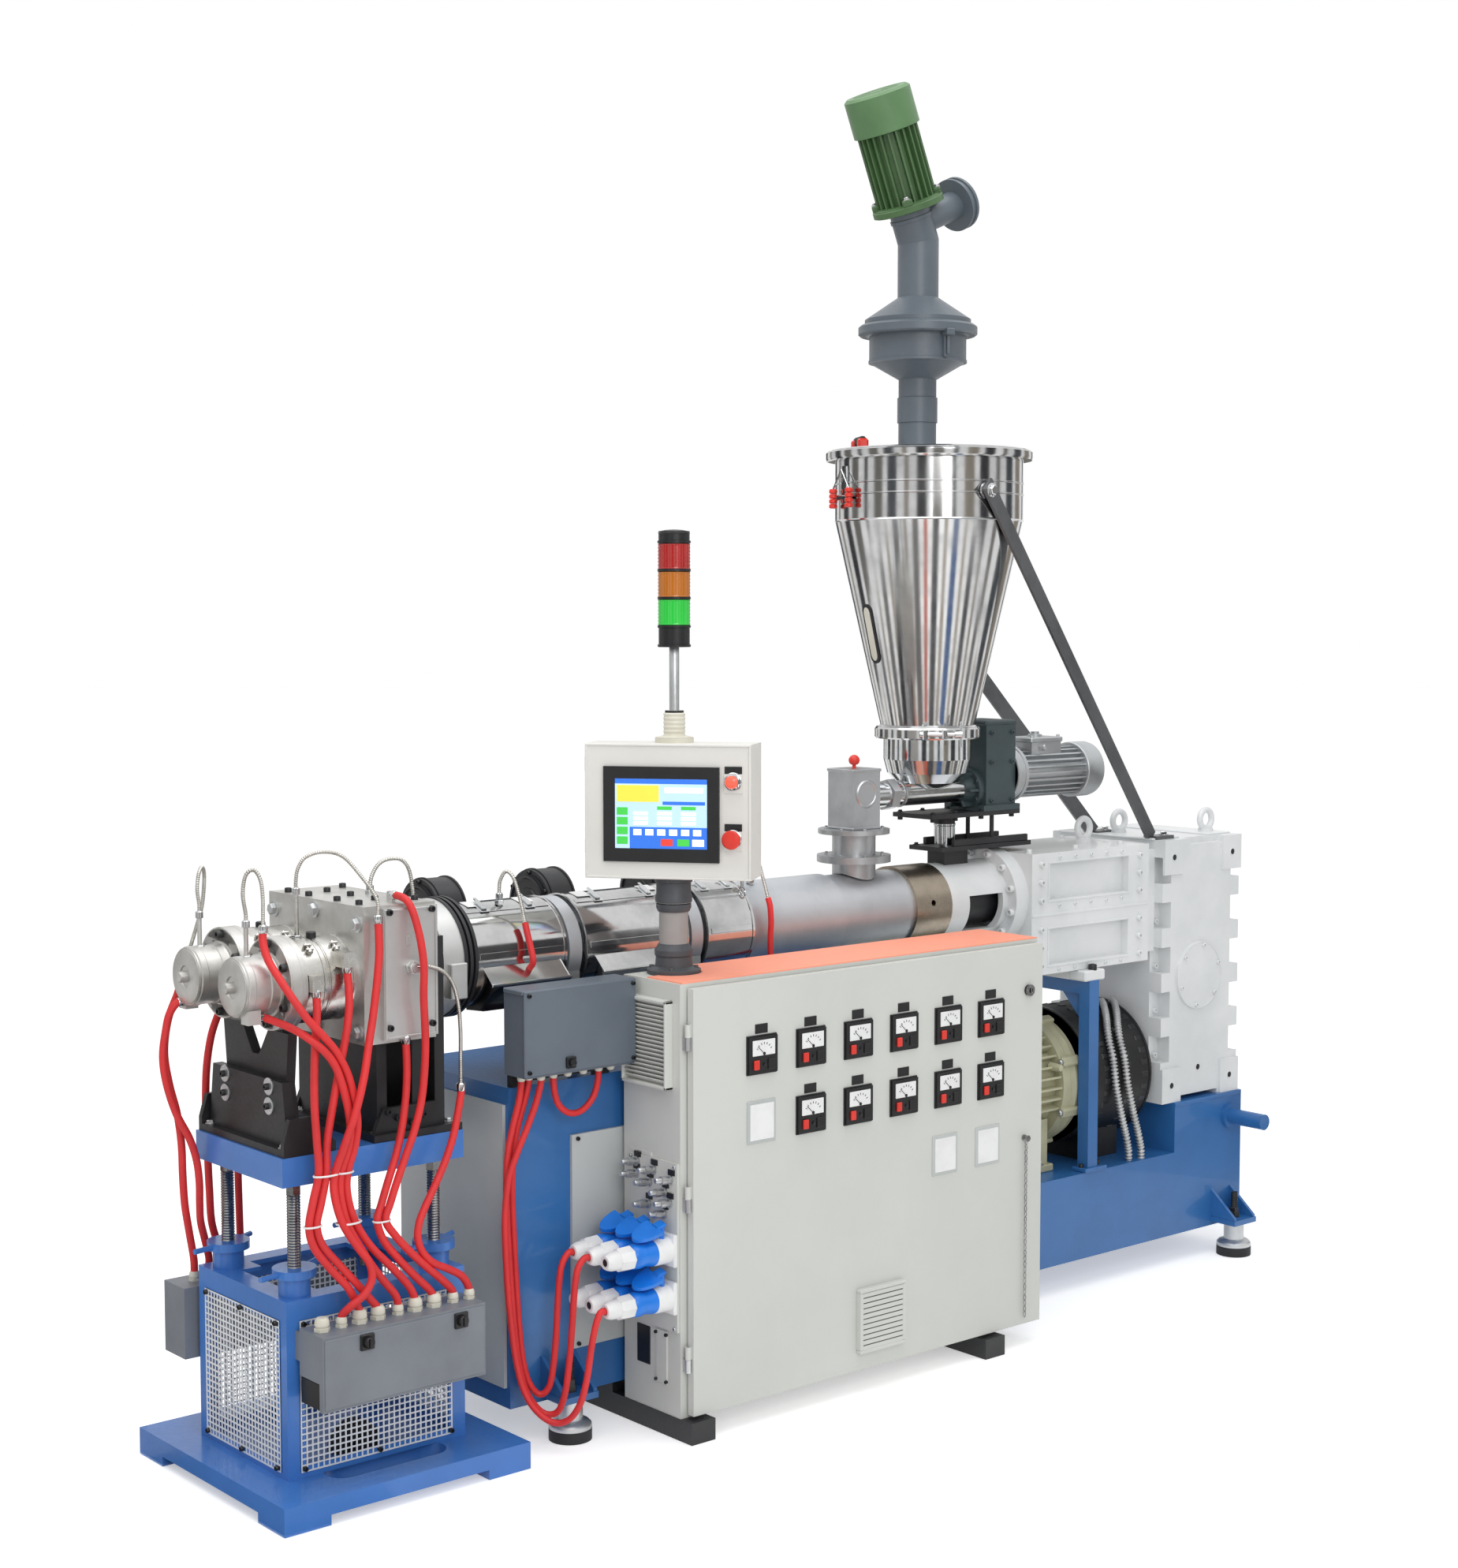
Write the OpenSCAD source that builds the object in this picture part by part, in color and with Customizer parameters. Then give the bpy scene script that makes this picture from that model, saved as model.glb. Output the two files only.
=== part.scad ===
// Twin-screw plastic extruder: die on its jack stand, barrel, drive and bed, hopper with feeder
// and loader, and the control cabinet with its operator panel. Sizes are in millimetres.
// X runs along the barrel from the die to the gearbox, the operator stands on the -Y side, Z is up.
// The origin is on the floor under the middle of the die stand.

/* [Machine] */
// Height of the barrel axis above the tall bed
axis_rise = 285; // [270:1:300]
// Running clearance between curved faces that sit on each other
fit_gap = 0.3; // [0.2:0.1:0.5]

/* [Die stand] */
// Base plate length along the barrel
stand_w = 615; // [580:5:660]
// Base plate depth
stand_d = 646; // [600:2:700]
// Base plate height
stand_h = 60; // [45:1:70]
// Height of the notches under the base
notch_h = 22; // [10:1:30]
// Frame length along the barrel
frame_w = 446; // [430:2:460]
// Frame depth
frame_d = 384; // [370:2:400]
// Height of the frame top
frame_top = 444; // [430:1:460]
// Jack screw radius
screw_r = 13; // [10:0.5:16]
// Jack centre distance from the frame corner, each way
jack_in = 48; // [44:1:56]
// Table length along the barrel
table_w = 452; // [440:2:470]
// Table depth
table_d = 378; // [366:2:390]
// Height of the table itself
table_h = 62; // [50:1:70]
// Drop from the barrel axis to the table top
table_drop = 357; // [345:1:365]

/* [Die] */
// Half distance between the two outlet heads
head_dy = 102; // [101:1:106]
// Outlet radius
outlet_r = 62; // [50:1:70]
// Head ring radius
ring_r = 99; // [94:1:100]
// Head body radius
head_r = 86; // [78:1:90]
// Depth of the die block, front to back
block_d = 400; // [380:5:420]
// Drop from the barrel axis to the die block underside
block_down = 140; // [130:1:150]
// Rise from the barrel axis to the die block top
block_up = 157; // [145:1:170]

/* [Barrel] */
// Barrel radius under the covers
barrel_r = 95; // [85:1:97]
// Heated length of the barrel
heated_len = 834; // [820:1:850]
// Bare barrel radius at the feed end
bare_r = 103; // [100:1:106]
// Cover radius
cover_r = 118; // [112:1:124]
// Cover sheet thickness
cover_t = 4; // [2:0.5:6]

/* [Bed] */
// Bed length
bed_len = 2650; // [2600:5:2700]
// Height of the bed underside
bed_z0 = 83; // [75:1:95]
// Height of the low bed top
bed_low = 325; // [300:1:340]
// Height of the tall bed top
bed_tall = 820; // [790:1:840]
// Height of the gearbox seat
seat_z = 471; // [450:1:490]

/* [Hopper and loader] */
// Hopper cylinder radius
hopper_r = 250; // [235:1:260]
// Hopper height from its lower flange to its lid
hopper_h = 751; // [725:1:775]
// Loader pipe radius
pipe_r = 50; // [45:1:55]
// Lean of the loader motor, degrees
lean = 23; // [15:1:28]

/* [Cabinet] */
// Cabinet width
cab_w = 1185; // [1150:5:1220]
// Cabinet depth without the door
cab_d = 207; // [200:1:215]
// Height of the cabinet underside
cab_z0 = 50; // [45:1:60]
// Cabinet height
cab_h = 1000; // [960:5:1040]
// Sheet thickness
sheet = 4; // [2:0.5:6]
// Door thickness
door_t = 20; // [16:1:24]
// Gap between door and cabinet
door_gap = 5; // [5:0.5:7]

/* [Operator panel] */
// Panel case width
hmi_w = 390; // [370:2:410]
// Panel case depth
hmi_d = 120; // [100:2:140]
// Height of the case underside
hmi_z0 = 1275; // [1260:1:1290]
// Height of the case top
hmi_z1 = 1586; // [1570:1:1600]
// Turn of the panel toward the die end, degrees
hmi_turn = 52; // [40:1:60]

/* [Hidden] */
axis_z = bed_tall + axis_rise;
table_top = axis_z - table_drop;
table_bottom = table_top - table_h;
block_bottom = axis_z - block_down;
block_top = axis_z + block_up;
jack_x = frame_w / 2 - jack_in;
jack_y = frame_d / 2 - jack_in;
nut_top = frame_top + 58;
mesh_h = frame_top - stand_h - 52;
lead_box_y = frame_d / 2 + 18;
lead_box_d = 95;
lead_box_z = frame_top - 54;
lead_box_h = 160;
block_x0 = -30;
block_x1 = 150;
neck_x1 = block_x1 + 65;
disc_x1 = neck_x1 + 55;
barrel_x0 = disc_x1 + 36;
bare_x0 = barrel_x0 + heated_len;
bare_x1 = bare_x0 + 322;
joint_w = 36;
joint_x = [barrel_x0 + 268, bare_x0 - 200];
ring_x0 = bare_x1 + 253;
lantern_x0 = ring_x0 + 130;
flange_x0 = lantern_x0 + 217;
case_x0 = flange_x0 + 48;
case_x1 = case_x0 + 490;
case_y = 150;
case_z0 = axis_z - 210;
case_z1 = axis_z + 125;
box_x0 = case_x1 + 50;
box_x1 = box_x0 + 350;
box_y0 = -160;
box_y1 = 260;
box_z1 = axis_z + 130;
pad = 8;
bed_x0 = 357;
bed_x1 = bed_x0 + bed_len;
bed_y0 = -175;
bed_y1 = 275;
seat_x0 = box_x0 + 50;
beam_z = case_z0 - 30;
portal_x0 = box_x0 - 328;
guard_x0 = portal_x0 + 43;
guard_x1 = box_x0 - 20;
motor_x1 = guard_x0 - 25;
motor_x0 = motor_x1 - 580;
tall_x1 = motor_x0 - 110;
motor_y = 52;
motor_z = bed_low + 238;
motor_r = 180;
guard_r = 195;
throat_x = bare_x1 + 123;
throat_r = 57;
feed_z = axis_z + 300;
feed_r = 33;
hopper_x = throat_x + 270;
feeder_x0 = hopper_x + 160;
fmotor_x = feeder_x0 + 115;
fmotor_z = axis_z + 337;
plate_z = axis_z + 232;
low_plate_z = axis_z + 141;
plate_t = 12;
hop_z0 = axis_z + 460;
lid_z = hop_z0 + hopper_h;
cone_z1 = lid_z - 185;
stay_x = hopper_x - 40;
stay_z = lid_z - 116;
hopper_gap = 12;
loader_x = hopper_x - 45;
elbow_z = lid_z + 544;
motor_s = 90;
eyebolts = [[case_x1 - 110, 0, case_z1], [box_x0 + 65, 60, box_z1], [box_x1 - 45, -70, box_z1]];
lift_x = 2950;
lift_z = 400;
lift_r = 23;
cab_x0 = 670;
cab_x1 = cab_x0 + cab_w;
cab_y1 = -195;
cab_y0 = cab_y1 - cab_d;
cab_z1 = cab_z0 + cab_h;
door_y1 = cab_y0 - door_gap;
door_y0 = door_y1 - door_t;
door_x0 = cab_x0 + 18;
door_x1 = cab_x1 - 6;
door_z0 = cab_z0 + 8;
door_z1 = cab_z1 - 10;
hinge_x = door_x0 - 8;
hinge_y = (door_y0 + door_y1) / 2;
pin_r = 4.5;
post_x = 771;
post_y = -255;
post_top = 1215;
lead_r = 7;
armour_r = 4;
tube_sides = 8;
shown_axis = 1105;
shown_box = 390;
// Routes of the leads, with heights as on the shown machine
die_routes = [
  [[-236, -140, 1230], [-238, -143, 1200], [-236, -160, 1165], [-228, -192, 1128], [-212, -222, 1085],
    [-190, -240, 1045], [-160, -246, 1010], [-128, -246, 972], [-102, -246, 925], [-86, -246, 870],
    [-78, -246, 815], [-84, -244, 765], [-100, -242, 715], [-104, -244, 670], [-90, -248, 610],
    [-55, -252, 550], [-5, -256, 495], [38, -257, 445], [53, -257, 412], [53, -257, 390]],
  [[-250, -138, 1042], [-238, -138, 1042], [-222, -166, 1034], [-208, -204, 1024], [-190, -232, 1008],
    [-160, -246, 980], [-132, -246, 945], [-114, -246, 900], [-101, -246, 850], [-95, -246, 800],
    [-101, -244, 760], [-117, -242, 712], [-121, -246, 665], [-108, -250, 605], [-74, -254, 540],
    [-34, -257, 480], [2, -257, 435], [10, -257, 412], [10, -257, 390]],
  [[-150, -207, 1095], [-150, -207, 1080], [-152, -212, 1055], [-160, -218, 1000], [-166, -222, 930],
    [-170, -228, 860], [-170, -235, 790], [-168, -238, 720], [-184, -240, 660], [-196, -244, 610],
    [-186, -248, 565], [-150, -252, 515], [-112, -256, 470], [-89, -257, 425], [-85, -257, 412],
    [-85, -257, 390]],
  [[-76, -208, 1140], [-76, -208, 1126], [-76, -214, 1095], [-80, -220, 1050], [-92, -224, 990],
    [-112, -228, 920], [-130, -232, 850], [-146, -236, 780], [-150, -238, 715], [-166, -242, 655],
    [-179, -246, 612], [-169, -250, 570], [-134, -254, 525], [-94, -257, 478], [-54, -257, 430],
    [-40, -257, 412], [-40, -257, 390]],
  [[-8, -222, 1240], [-8, -225, 1210], [-9, -227, 1165], [-16, -230, 1110], [-30, -236, 1040],
    [-48, -246, 980], [-70, -260, 910], [-95, -266, 840], [-118, -260, 775], [-135, -246, 710],
    [-138, -252, 665], [-126, -262, 610], [-98, -270, 560], [-72, -277, 520], [-68, -280, 485],
    [-88, -280, 455], [-114, -272, 435], [-129, -257, 412], [-129, -257, 390]],
  [[70, -159, 1277], [70, -185, 1277], [71, -212, 1270], [74, -232, 1245], [82, -246, 1190],
    [88, -250, 1130], [88, -248, 1070], [94, -242, 1010], [98, -238, 960], [96, -236, 900],
    [88, -236, 840], [70, -237, 780], [45, -239, 725], [22, -241, 675], [2, -244, 630],
    [-12, -247, 595], [8, -252, 560], [40, -256, 522], [82, -257, 480], [124, -257, 442],
    [150, -257, 412], [150, -257, 390]],
  [[68, -208, 972], [68, -208, 955], [66, -213, 925], [64, -216, 890], [58, -219, 840],
    [46, -222, 780], [28, -226, 725], [5, -231, 675], [-15, -236, 630], [-29, -241, 595],
    [-16, -244, 552], [16, -250, 508], [56, -256, 462], [86, -257, 432], [101, -257, 410],
    [101, -257, 390]],
  [[196, -226, 856], [196, -226, 838], [186, -228, 795], [170, -232, 745], [146, -236, 695],
    [118, -240, 650], [90, -244, 608], [72, -248, 578], [66, -250, 545], [76, -252, 512],
    [102, -254, 484], [140, -256, 464], [174, -257, 442], [192, -257, 412], [192, -257, 390]],
  [[-280, 137, 1045], [-292, 137, 1045], [-308, 142, 1022], [-315, 146, 990], [-322, 150, 930],
    [-314, 152, 870], [-292, 152, 800], [-262, 150, 740], [-246, 150, 690], [-240, 150, 640],
    [-232, 165, 590], [-215, 195, 540], [-190, 225, 490], [-170, 245, 440], [-165, 257, 412],
    [-165, 257, 390]],
  [[-136, 206, 1060], [-136, 206, 1045], [-150, 212, 1005], [-170, 216, 950], [-182, 218, 880],
    [-186, 218, 800], [-184, 218, 740], [-182, 220, 680], [-176, 226, 600], [-165, 238, 520],
    [-140, 250, 450], [-130, 257, 412], [-130, 257, 390]],
  [[-76, 206, 1060], [-76, 206, 1045], [-84, 214, 995], [-96, 218, 930], [-104, 220, 860],
    [-108, 220, 780], [-108, 220, 700], [-104, 226, 620], [-96, 238, 540], [-88, 250, 460],
    [-85, 257, 412], [-85, 257, 390]],
  [[-262, 180, 1080], [-268, 183, 1055], [-290, 186, 1000], [-300, 186, 930], [-290, 186, 860],
    [-272, 186, 790], [-262, 188, 720], [-258, 192, 650], [-247, 206, 580], [-226, 228, 510],
    [-206, 248, 445], [-200, 257, 412], [-200, 257, 390]]
];
sensor_routes = [
  [[-255, -102, 1240], [-255, -102, 1258], [-262, -104, 1300], [-257, -108, 1338], [-244, -118, 1350],
    [-234, -128, 1330], [-232, -134, 1290], [-236, -140, 1230]],
  [[-255, 102, 1240], [-255, 102, 1258], [-258, 104, 1292], [-250, 110, 1325], [-236, 120, 1335],
    [-226, 132, 1310], [-226, 144, 1250], [-236, 160, 1190], [-250, 174, 1130], [-262, 180, 1080]],
  [[-135, -102, 1300], [-135, -102, 1318], [-131, -105, 1345], [-116, -112, 1368], [-84, -128, 1378],
    [-50, -152, 1368], [-24, -186, 1325], [-8, -218, 1280], [-8, -222, 1240]],
  [[110, 0, 1262], [110, 0, 1280], [116, 0, 1304], [132, 0, 1326], [155, 0, 1336], [190, 0, 1334],
    [212, 0, 1310], [222, 0, 1262], [222, 0, 1240]],
  [[91, -226, 1126], [106, -226, 1126], [120, -226, 1124], [150, -226, 1112], [175, -226, 1085],
    [190, -226, 1040], [196, -226, 980], [196, -226, 920], [196, -226, 872], [196, -226, 856]],
  [[430, -40, 1240], [430, -40, 1256], [431, -44, 1275], [438, -56, 1294], [446, -74, 1280],
    [448, -96, 1235], [448, -116, 1180]],
  [[1200, -30, 1235], [1200, -30, 1252], [1200, -34, 1275], [1195, -48, 1298], [1187, -68, 1285],
    [1184, -92, 1240], [1184, -116, 1180]]
];
plug_routes = [
  [[372, -205, 854], [372, -205, 836], [365, -205, 795], [352, -200, 740], [340, -197, 680],
    [336, -195, 600], [338, -195, 520], [342, -196, 440], [346, -198, 360], [350, -202, 280],
    [357, -208, 200], [372, -218, 130], [398, -240, 85], [422, -264, 85], [430, -284, 130],
    [433, -298, 210], [436, -306, 300], [440, -309, 370], [448, -310, 418], [466, -310, 440],
    [480, -310, 440]],
  [[394, -203, 854], [394, -203, 836], [385, -200, 795], [370, -195, 740], [360, -191, 680],
    [356, -189, 600], [358, -189, 520], [362, -189, 440], [366, -190, 360], [370, -193, 280],
    [376, -198, 200], [388, -206, 145], [408, -218, 118], [424, -232, 135], [430, -242, 190],
    [434, -248, 270], [438, -250, 350], [447, -250, 412], [466, -250, 440], [480, -250, 440]],
  [[414, -222, 854], [414, -222, 836], [402, -222, 795], [380, -219, 740], [352, -215, 680],
    [330, -212, 620], [321, -211, 540], [322, -211, 460], [326, -212, 380], [332, -215, 300],
    [340, -221, 220], [352, -231, 150], [372, -250, 100], [398, -280, 72], [420, -310, 80],
    [432, -338, 120], [438, -356, 180], [443, -366, 250], [452, -370, 300], [466, -370, 330],
    [480, -370, 330]],
  [[450, -219, 854], [450, -219, 836], [454, -218, 806], [466, -217, 775], [495, -216, 752],
    [530, -216, 752], [560, -217, 775], [574, -218, 806], [578, -219, 836], [578, -219, 854]],
  [[448, -116, 1180], [448, -124, 1158], [450, -137, 1120], [450, -144, 1093], [450, -130, 1078]],
  [[1184, -116, 1180], [1184, -124, 1160], [1184, -128, 1120], [1184, -126, 1095], [1184, -126, 1050],
    [1186, -132, 1000], [1190, -146, 940], [1194, -158, 880], [1195, -160, 838], [1195, -160, 820]]
];
$fn = 64;

module box(x0, x1, y0, y1, z0, z1) {
  translate([x0, y0, z0]) cube([x1 - x0, y1 - y0, z1 - z0]);
}

module xcyl(x0, x1, r, y = 0, z = axis_z) {
  translate([x0, y, z]) rotate([0, 90, 0]) cylinder(h = x1 - x0, r = r);
}

module ycyl(y0, y1, r, x, z) {
  translate([x, y1, z]) rotate([90, 0, 0]) cylinder(h = y1 - y0, r = r);
}

module zcyl(z0, z1, r, x, y) {
  translate([x, y, z0]) cylinder(h = z1 - z0, r = r);
}

module jacks() {
  for (sx = [-1, 1], sy = [-1, 1]) translate([sx * jack_x, sy * jack_y, 0]) children();
}

// plate across the barrel, its outline given in Y and Z
module across(x0, x1) {
  translate([x0, 0, 0]) rotate([90, 0, 90]) linear_extrude(x1 - x0) children();
}

module die_stand_base() {
  color("#3f74c4") difference() {
    box(-stand_w / 2, stand_w / 2, -stand_d / 2, stand_d / 2, 0, stand_h);
    for (s = [-1, 1]) {
      translate([-stand_w / 2 + 110, s * (stand_d / 2 - 30) - 30, -1])
        cube([stand_w - 220, 60, notch_h + 1]);
      translate([s * (stand_w / 2 - 30) - 30, -stand_d / 2 + 110, -1])
        cube([60, stand_d - 220, notch_h + 1]);
    }
    for (x = [-100, 110]) zcyl(-1, stand_h + 1, 42, x, -frame_d / 2 - 20);
    box(-100, 110, -frame_d / 2 - 62, -frame_d / 2 + 22, -1, stand_h + 1);
  }
}

module die_stand_frame() {
  color("#3f74c4") difference() {
    box(-frame_w / 2, frame_w / 2, -frame_d / 2, frame_d / 2, stand_h, frame_top);
    box(-frame_w / 2 + 6, frame_w / 2 - 6, -frame_d / 2 + 6, frame_d / 2 - 6, stand_h - 1, frame_top - 10);
    box(-frame_w / 2 + 100, frame_w / 2 - 100, -frame_d / 2 + 50, frame_d / 2 - 50, stand_h, frame_top + 1);
    box(-frame_w / 2 + 50, frame_w / 2 - 50, -frame_d / 2 + 100, frame_d / 2 - 100, stand_h, frame_top + 1);
    box(-frame_w / 2 + 42, frame_w / 2 - 42, -frame_d, frame_d, stand_h + 24, frame_top - 52);
    box(-frame_w, frame_w, -frame_d / 2 + 42, frame_d / 2 - 42, stand_h + 24, frame_top - 52);
    jacks() cylinder(h = frame_top + 1, r = screw_r + 1);
  }
}

module die_stand_mesh() {
  color("#d8dadb") for (s = [-1, 1]) {
    translate([-frame_w / 2 + 30, s * (frame_d / 2 + 1) - 1, stand_h + 12])
      cube([frame_w - 60, 2, mesh_h]);
    translate([s * (frame_w / 2 + 1) - 1, -frame_d / 2 + 30, stand_h + 12])
      cube([2, frame_d - 60, mesh_h]);
  }
}

// box for the leads, hung on the front or the rear of the stand
module lead_box(x0, side) {
  far = lead_box_y + lead_box_d;
  box(x0, 202, min(side * lead_box_y, side * far), max(side * lead_box_y, side * far),
    lead_box_z - lead_box_h, lead_box_z);
}

module stand_boxes() {
  color("#7b8088") {
    difference() {
      lead_box(-203, -1);
      box(-204, -150, -lead_box_y - lead_box_d + 15, -lead_box_y + 1, lead_box_z - lead_box_h - 1,
        lead_box_z - 100);
    }
    lead_box(-250, 1);
    for (x = [-203, 194]) {
      box(x, x + 8, -lead_box_y, -frame_d / 2, lead_box_z - 70, lead_box_z - 10);
      box(x, x + 8, frame_d / 2, lead_box_y, lead_box_z - 70, lead_box_z - 10);
    }
  }
}

module stand_nuts() {
  color("#3f74c4") jacks() difference() {
    union() {
      translate([0, 0, frame_top]) cylinder(h = 40, r = 34);
      translate([0, 0, frame_top + 40]) cylinder(h = nut_top - frame_top - 40, r = 47);
      translate([0, 0, nut_top - 9]) rotate([0, 90, 30]) cylinder(h = 92, r = 6, $fn = 24);
      translate([0, 0, nut_top - 9]) rotate([0, 90, 190]) cylinder(h = 92, r = 6, $fn = 24);
    }
    translate([0, 0, frame_top - 1]) cylinder(h = 80, r = screw_r + fit_gap);
  }
}

module stand_screws() {
  color("#8d8f90") jacks() {
    translate([0, 0, frame_top - 60]) cylinder(h = table_bottom - frame_top + 60, r = screw_r);
    translate([0, 0, table_bottom - 26]) cylinder(h = 26, r = screw_r + 4, $fn = 6);
  }
}

module die_table() {
  color("#3f74c4") {
    difference() {
      box(-table_w / 2, table_w / 2, -table_d / 2, table_d / 2, table_bottom, table_top);
      box(-table_w / 2 + 12, table_w / 2 - 12, -table_d / 2 + 12, table_d / 2 - 12,
        table_bottom - 1, table_top - 14);
    }
    jacks() translate([0, 0, table_bottom]) cylinder(h = table_top - table_bottom - 10, r = 32);
  }
}

module die_bracket_front() {
  y1 = table_d / 2 - 3;
  color("#26282a") {
    box(-220, -95, -y1, y1, table_top, table_top + 16);
    across(-202, -180)
      polygon([[-y1 + 14, table_top], [y1 - 14, table_top], [150, table_top + 152], [-150, table_top + 152]]);
    across(-180, -158) polygon([[-160, table_top], [160, table_top], [128, table_top + 142],
      [140, axis_z - 105],
      [56, axis_z - 105], [14, axis_z - 165], [-14, axis_z - 165], [-56, axis_z - 105],
      [-140, axis_z - 105], [-128, table_top + 142]]);
    for (y = [-y1, y1 - 14]) translate([0, y + 14, 0]) rotate([90, 0, 0]) linear_extrude(14)
      polygon([[-220, table_top], [-95, table_top], [-95, table_top + 20], [-150, table_top + 80],
        [-205, table_top + 80], [-220, table_top + 30]]);
  }
}

module die_bracket_rear() {
  y1 = table_d / 2 - 3;
  color("#26282a") {
    box(0, table_w / 2, -y1, y1, table_top, table_top + 16);
    box(20, 45, -165, 165, table_top, block_bottom);
    box(110, 135, -165, 165, table_top, block_bottom);
    difference() {
      box(165, 190, -170, 170, table_top, axis_z + 75);
      xcyl(160, 195, 106);
    }
    for (y = [-175, 161]) translate([0, y + 14, 0]) rotate([90, 0, 0]) linear_extrude(14)
      polygon([[0, table_top], [165, table_top], [165, table_top + 70], [30, table_top + 70]]);
  }
}

module die_block() {
  color("#b9bab8") {
    box(block_x0, block_x1, -block_d / 2, block_d / 2, block_bottom, block_top);
    zcyl(block_top, block_top + 23, 9, 70, -150);
    xcyl(block_x1, neck_x1, 98);
  }
}

module die_side_plate() {
  color("#a9aaa9") {
    box(block_x0 + 42, block_x1 - 2, -block_d / 2 - 12, -block_d / 2, block_bottom + 8, block_top - 6);
    ycyl(-block_d / 2 - 36, -block_d / 2 - 12, 10, 81, axis_z + 21);
  }
}

module die_heads() {
  color("#b4b5b3") for (s = [-1, 1]) {
    xcyl(-305, -285, 9, s * head_dy);
    xcyl(-287, -205, outlet_r, s * head_dy);
    xcyl(-205, -165, ring_r, s * head_dy);
    xcyl(-165, block_x0, head_r, s * head_dy);
    translate([-280, s * 137 - 15, axis_z - 75]) cube([30, 30, 30]);
    zcyl(axis_z + 50, axis_z + 135, 5, -255, s * head_dy);
  }
}

module die_bands() {
  color("#c9c6bd") for (s = [-1, 1]) difference() {
    union() {
      xcyl(-165, -118, head_r + 5, s * head_dy);
      xcyl(-108, -48, head_r + 5, s * head_dy);
      xcyl(-118, -108, head_r + 3, s * head_dy);
      if (s < 0) {
        box(-164, -136, -216, -180, axis_z - 10, axis_z + 25);
        box(-90, -62, -218, -170, axis_z + 35, axis_z + 67);
        zcyl(axis_z + 80, axis_z + 195, 5, -135, -head_dy);
      } else for (x = [-150, -90]) box(x, x + 28, 180, 216, axis_z - 45, axis_z - 15);
    }
    xcyl(-166, block_x0, head_r + fit_gap, s * head_dy);
  }
}

module adaptor_disc() {
  color("#d5d8da") xcyl(neck_x1, disc_x1, 135);
}

module clamp_rings() {
  color("#1d1e20") {
    xcyl(disc_x1, disc_x1 + 8, 138);
    xcyl(disc_x1 + 8, disc_x1 + 14, 128);
    xcyl(disc_x1 + 14, disc_x1 + 22, 138);
    xcyl(disc_x1 + 22, disc_x1 + 28, 128);
    xcyl(disc_x1 + 28, barrel_x0, 138);
  }
}

module barrel() {
  color("#a5a9ad") {
    xcyl(barrel_x0, bare_x0, barrel_r);
    for (x = joint_x) xcyl(x, x + joint_w, cover_r - 2);
    xcyl(bare_x0, bare_x1, bare_r + 3);
    xcyl(bare_x1, ring_x0, bare_r - 3);
    zcyl(axis_z + 90, axis_z + 130, 5, bare_x0 + 60, -30);
  }
}

module barrel_covers() {
  color("#d2d4d5") for (c = [[barrel_x0 + 6, joint_x[0] - 8], [joint_x[0] + 48, joint_x[1] - 10],
    [joint_x[1] + 48, bare_x0]]) difference() {
    xcyl(c[0], c[1], cover_r);
    xcyl(c[0] + 6, c[1] - 6, cover_r - cover_t);
    xcyl(c[0] - 1, c[1] + 1, barrel_r + fit_gap);
  }
  color("#d2d4d5") zcyl(axis_z + 108, axis_z + 135, 5, 430, -40);
}

module terminal_covers() {
  color("#d2d4d5") for (x = [barrel_x0 + 24, barrel_x0 + 339]) difference() {
    across(x, x + 215) polygon([[-50, axis_z - 120], [-120, axis_z - 115], [-157, axis_z - 53],
      [-105, axis_z - 5], [-50, axis_z - 5]]);
    xcyl(x - 1, x + 216, cover_r + fit_gap);
  }
}

module blowers() {
  color("#1d1e20") for (x = [barrel_x0 + 46, barrel_x0 + 362, bare_x0 - 130]) difference() {
    union() {
      xcyl(x, x + 80, 85, 175, axis_z + 73);
      xcyl(x - 6, x, 72, 175, axis_z + 73);
      box(x + 6, x + 74, 60, 175, axis_z - 10, axis_z + 55);
    }
    xcyl(x - 10, x + 90, cover_r + fit_gap);
  }
}

module barrel_saddles() {
  color("#3f74c4") for (x = joint_x) difference() {
    box(x, x + joint_w, -105, 105, bed_tall, axis_z - 20);
    xcyl(x - 1, x + joint_w + 1, cover_r - 2 + fit_gap);
  }
}

module terminal_box() {
  color("#56606d") box(345, 650, -260, -178, axis_z - 251, axis_z - 57);
}

module box_bracket() {
  color("#1d1e20") {
    for (x = [365, 600]) box(x, x + 40, -178, -160, bed_tall, axis_z - 75);
    box(365, 640, -178, -160, axis_z - 275, axis_z - 255);
  }
}

module throat_ring() {
  color("#9b9a96") difference() {
    xcyl(ring_x0, lantern_x0, 108);
    ycyl(-140, -60, 8, ring_x0 + 60, axis_z + 15);
  }
}

module lantern() {
  color("#dcdee0") difference() {
    union() {
      xcyl(lantern_x0, flange_x0, 106);
      xcyl(flange_x0, case_x0, 138);
    }
    xcyl(lantern_x0 - 1, case_x0 + 1, 88);
    box(lantern_x0 + 69, flange_x0 - 19, -150, 0, axis_z - 75, axis_z + 22);
  }
}

module lantern_sleeve() {
  color("#1d1e20") xcyl(lantern_x0, case_x0, 70);
}

module transfer_case() {
  color("#dcdee0") {
    difference() {
      box(case_x0, case_x1, -case_y, case_y, case_z0, case_z1);
      for (s = [-1, 1]) {
        translate([case_x0 + 70, s * (case_y - 12) - 12 - 1, axis_z - 5]) cube([330, 26, 100]);
        translate([case_x0 + 70, s * (case_y - 12) - 12 - 1, axis_z - 185]) cube([330, 26, 100]);
      }
    }
    box(case_x1, box_x0, -case_y + 20, case_y - 20, case_z0 + 20, case_z1 - 20);
    box(portal_x0 - 22, portal_x0 + 63, -120, 120, beam_z, case_z0);
  }
}

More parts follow.
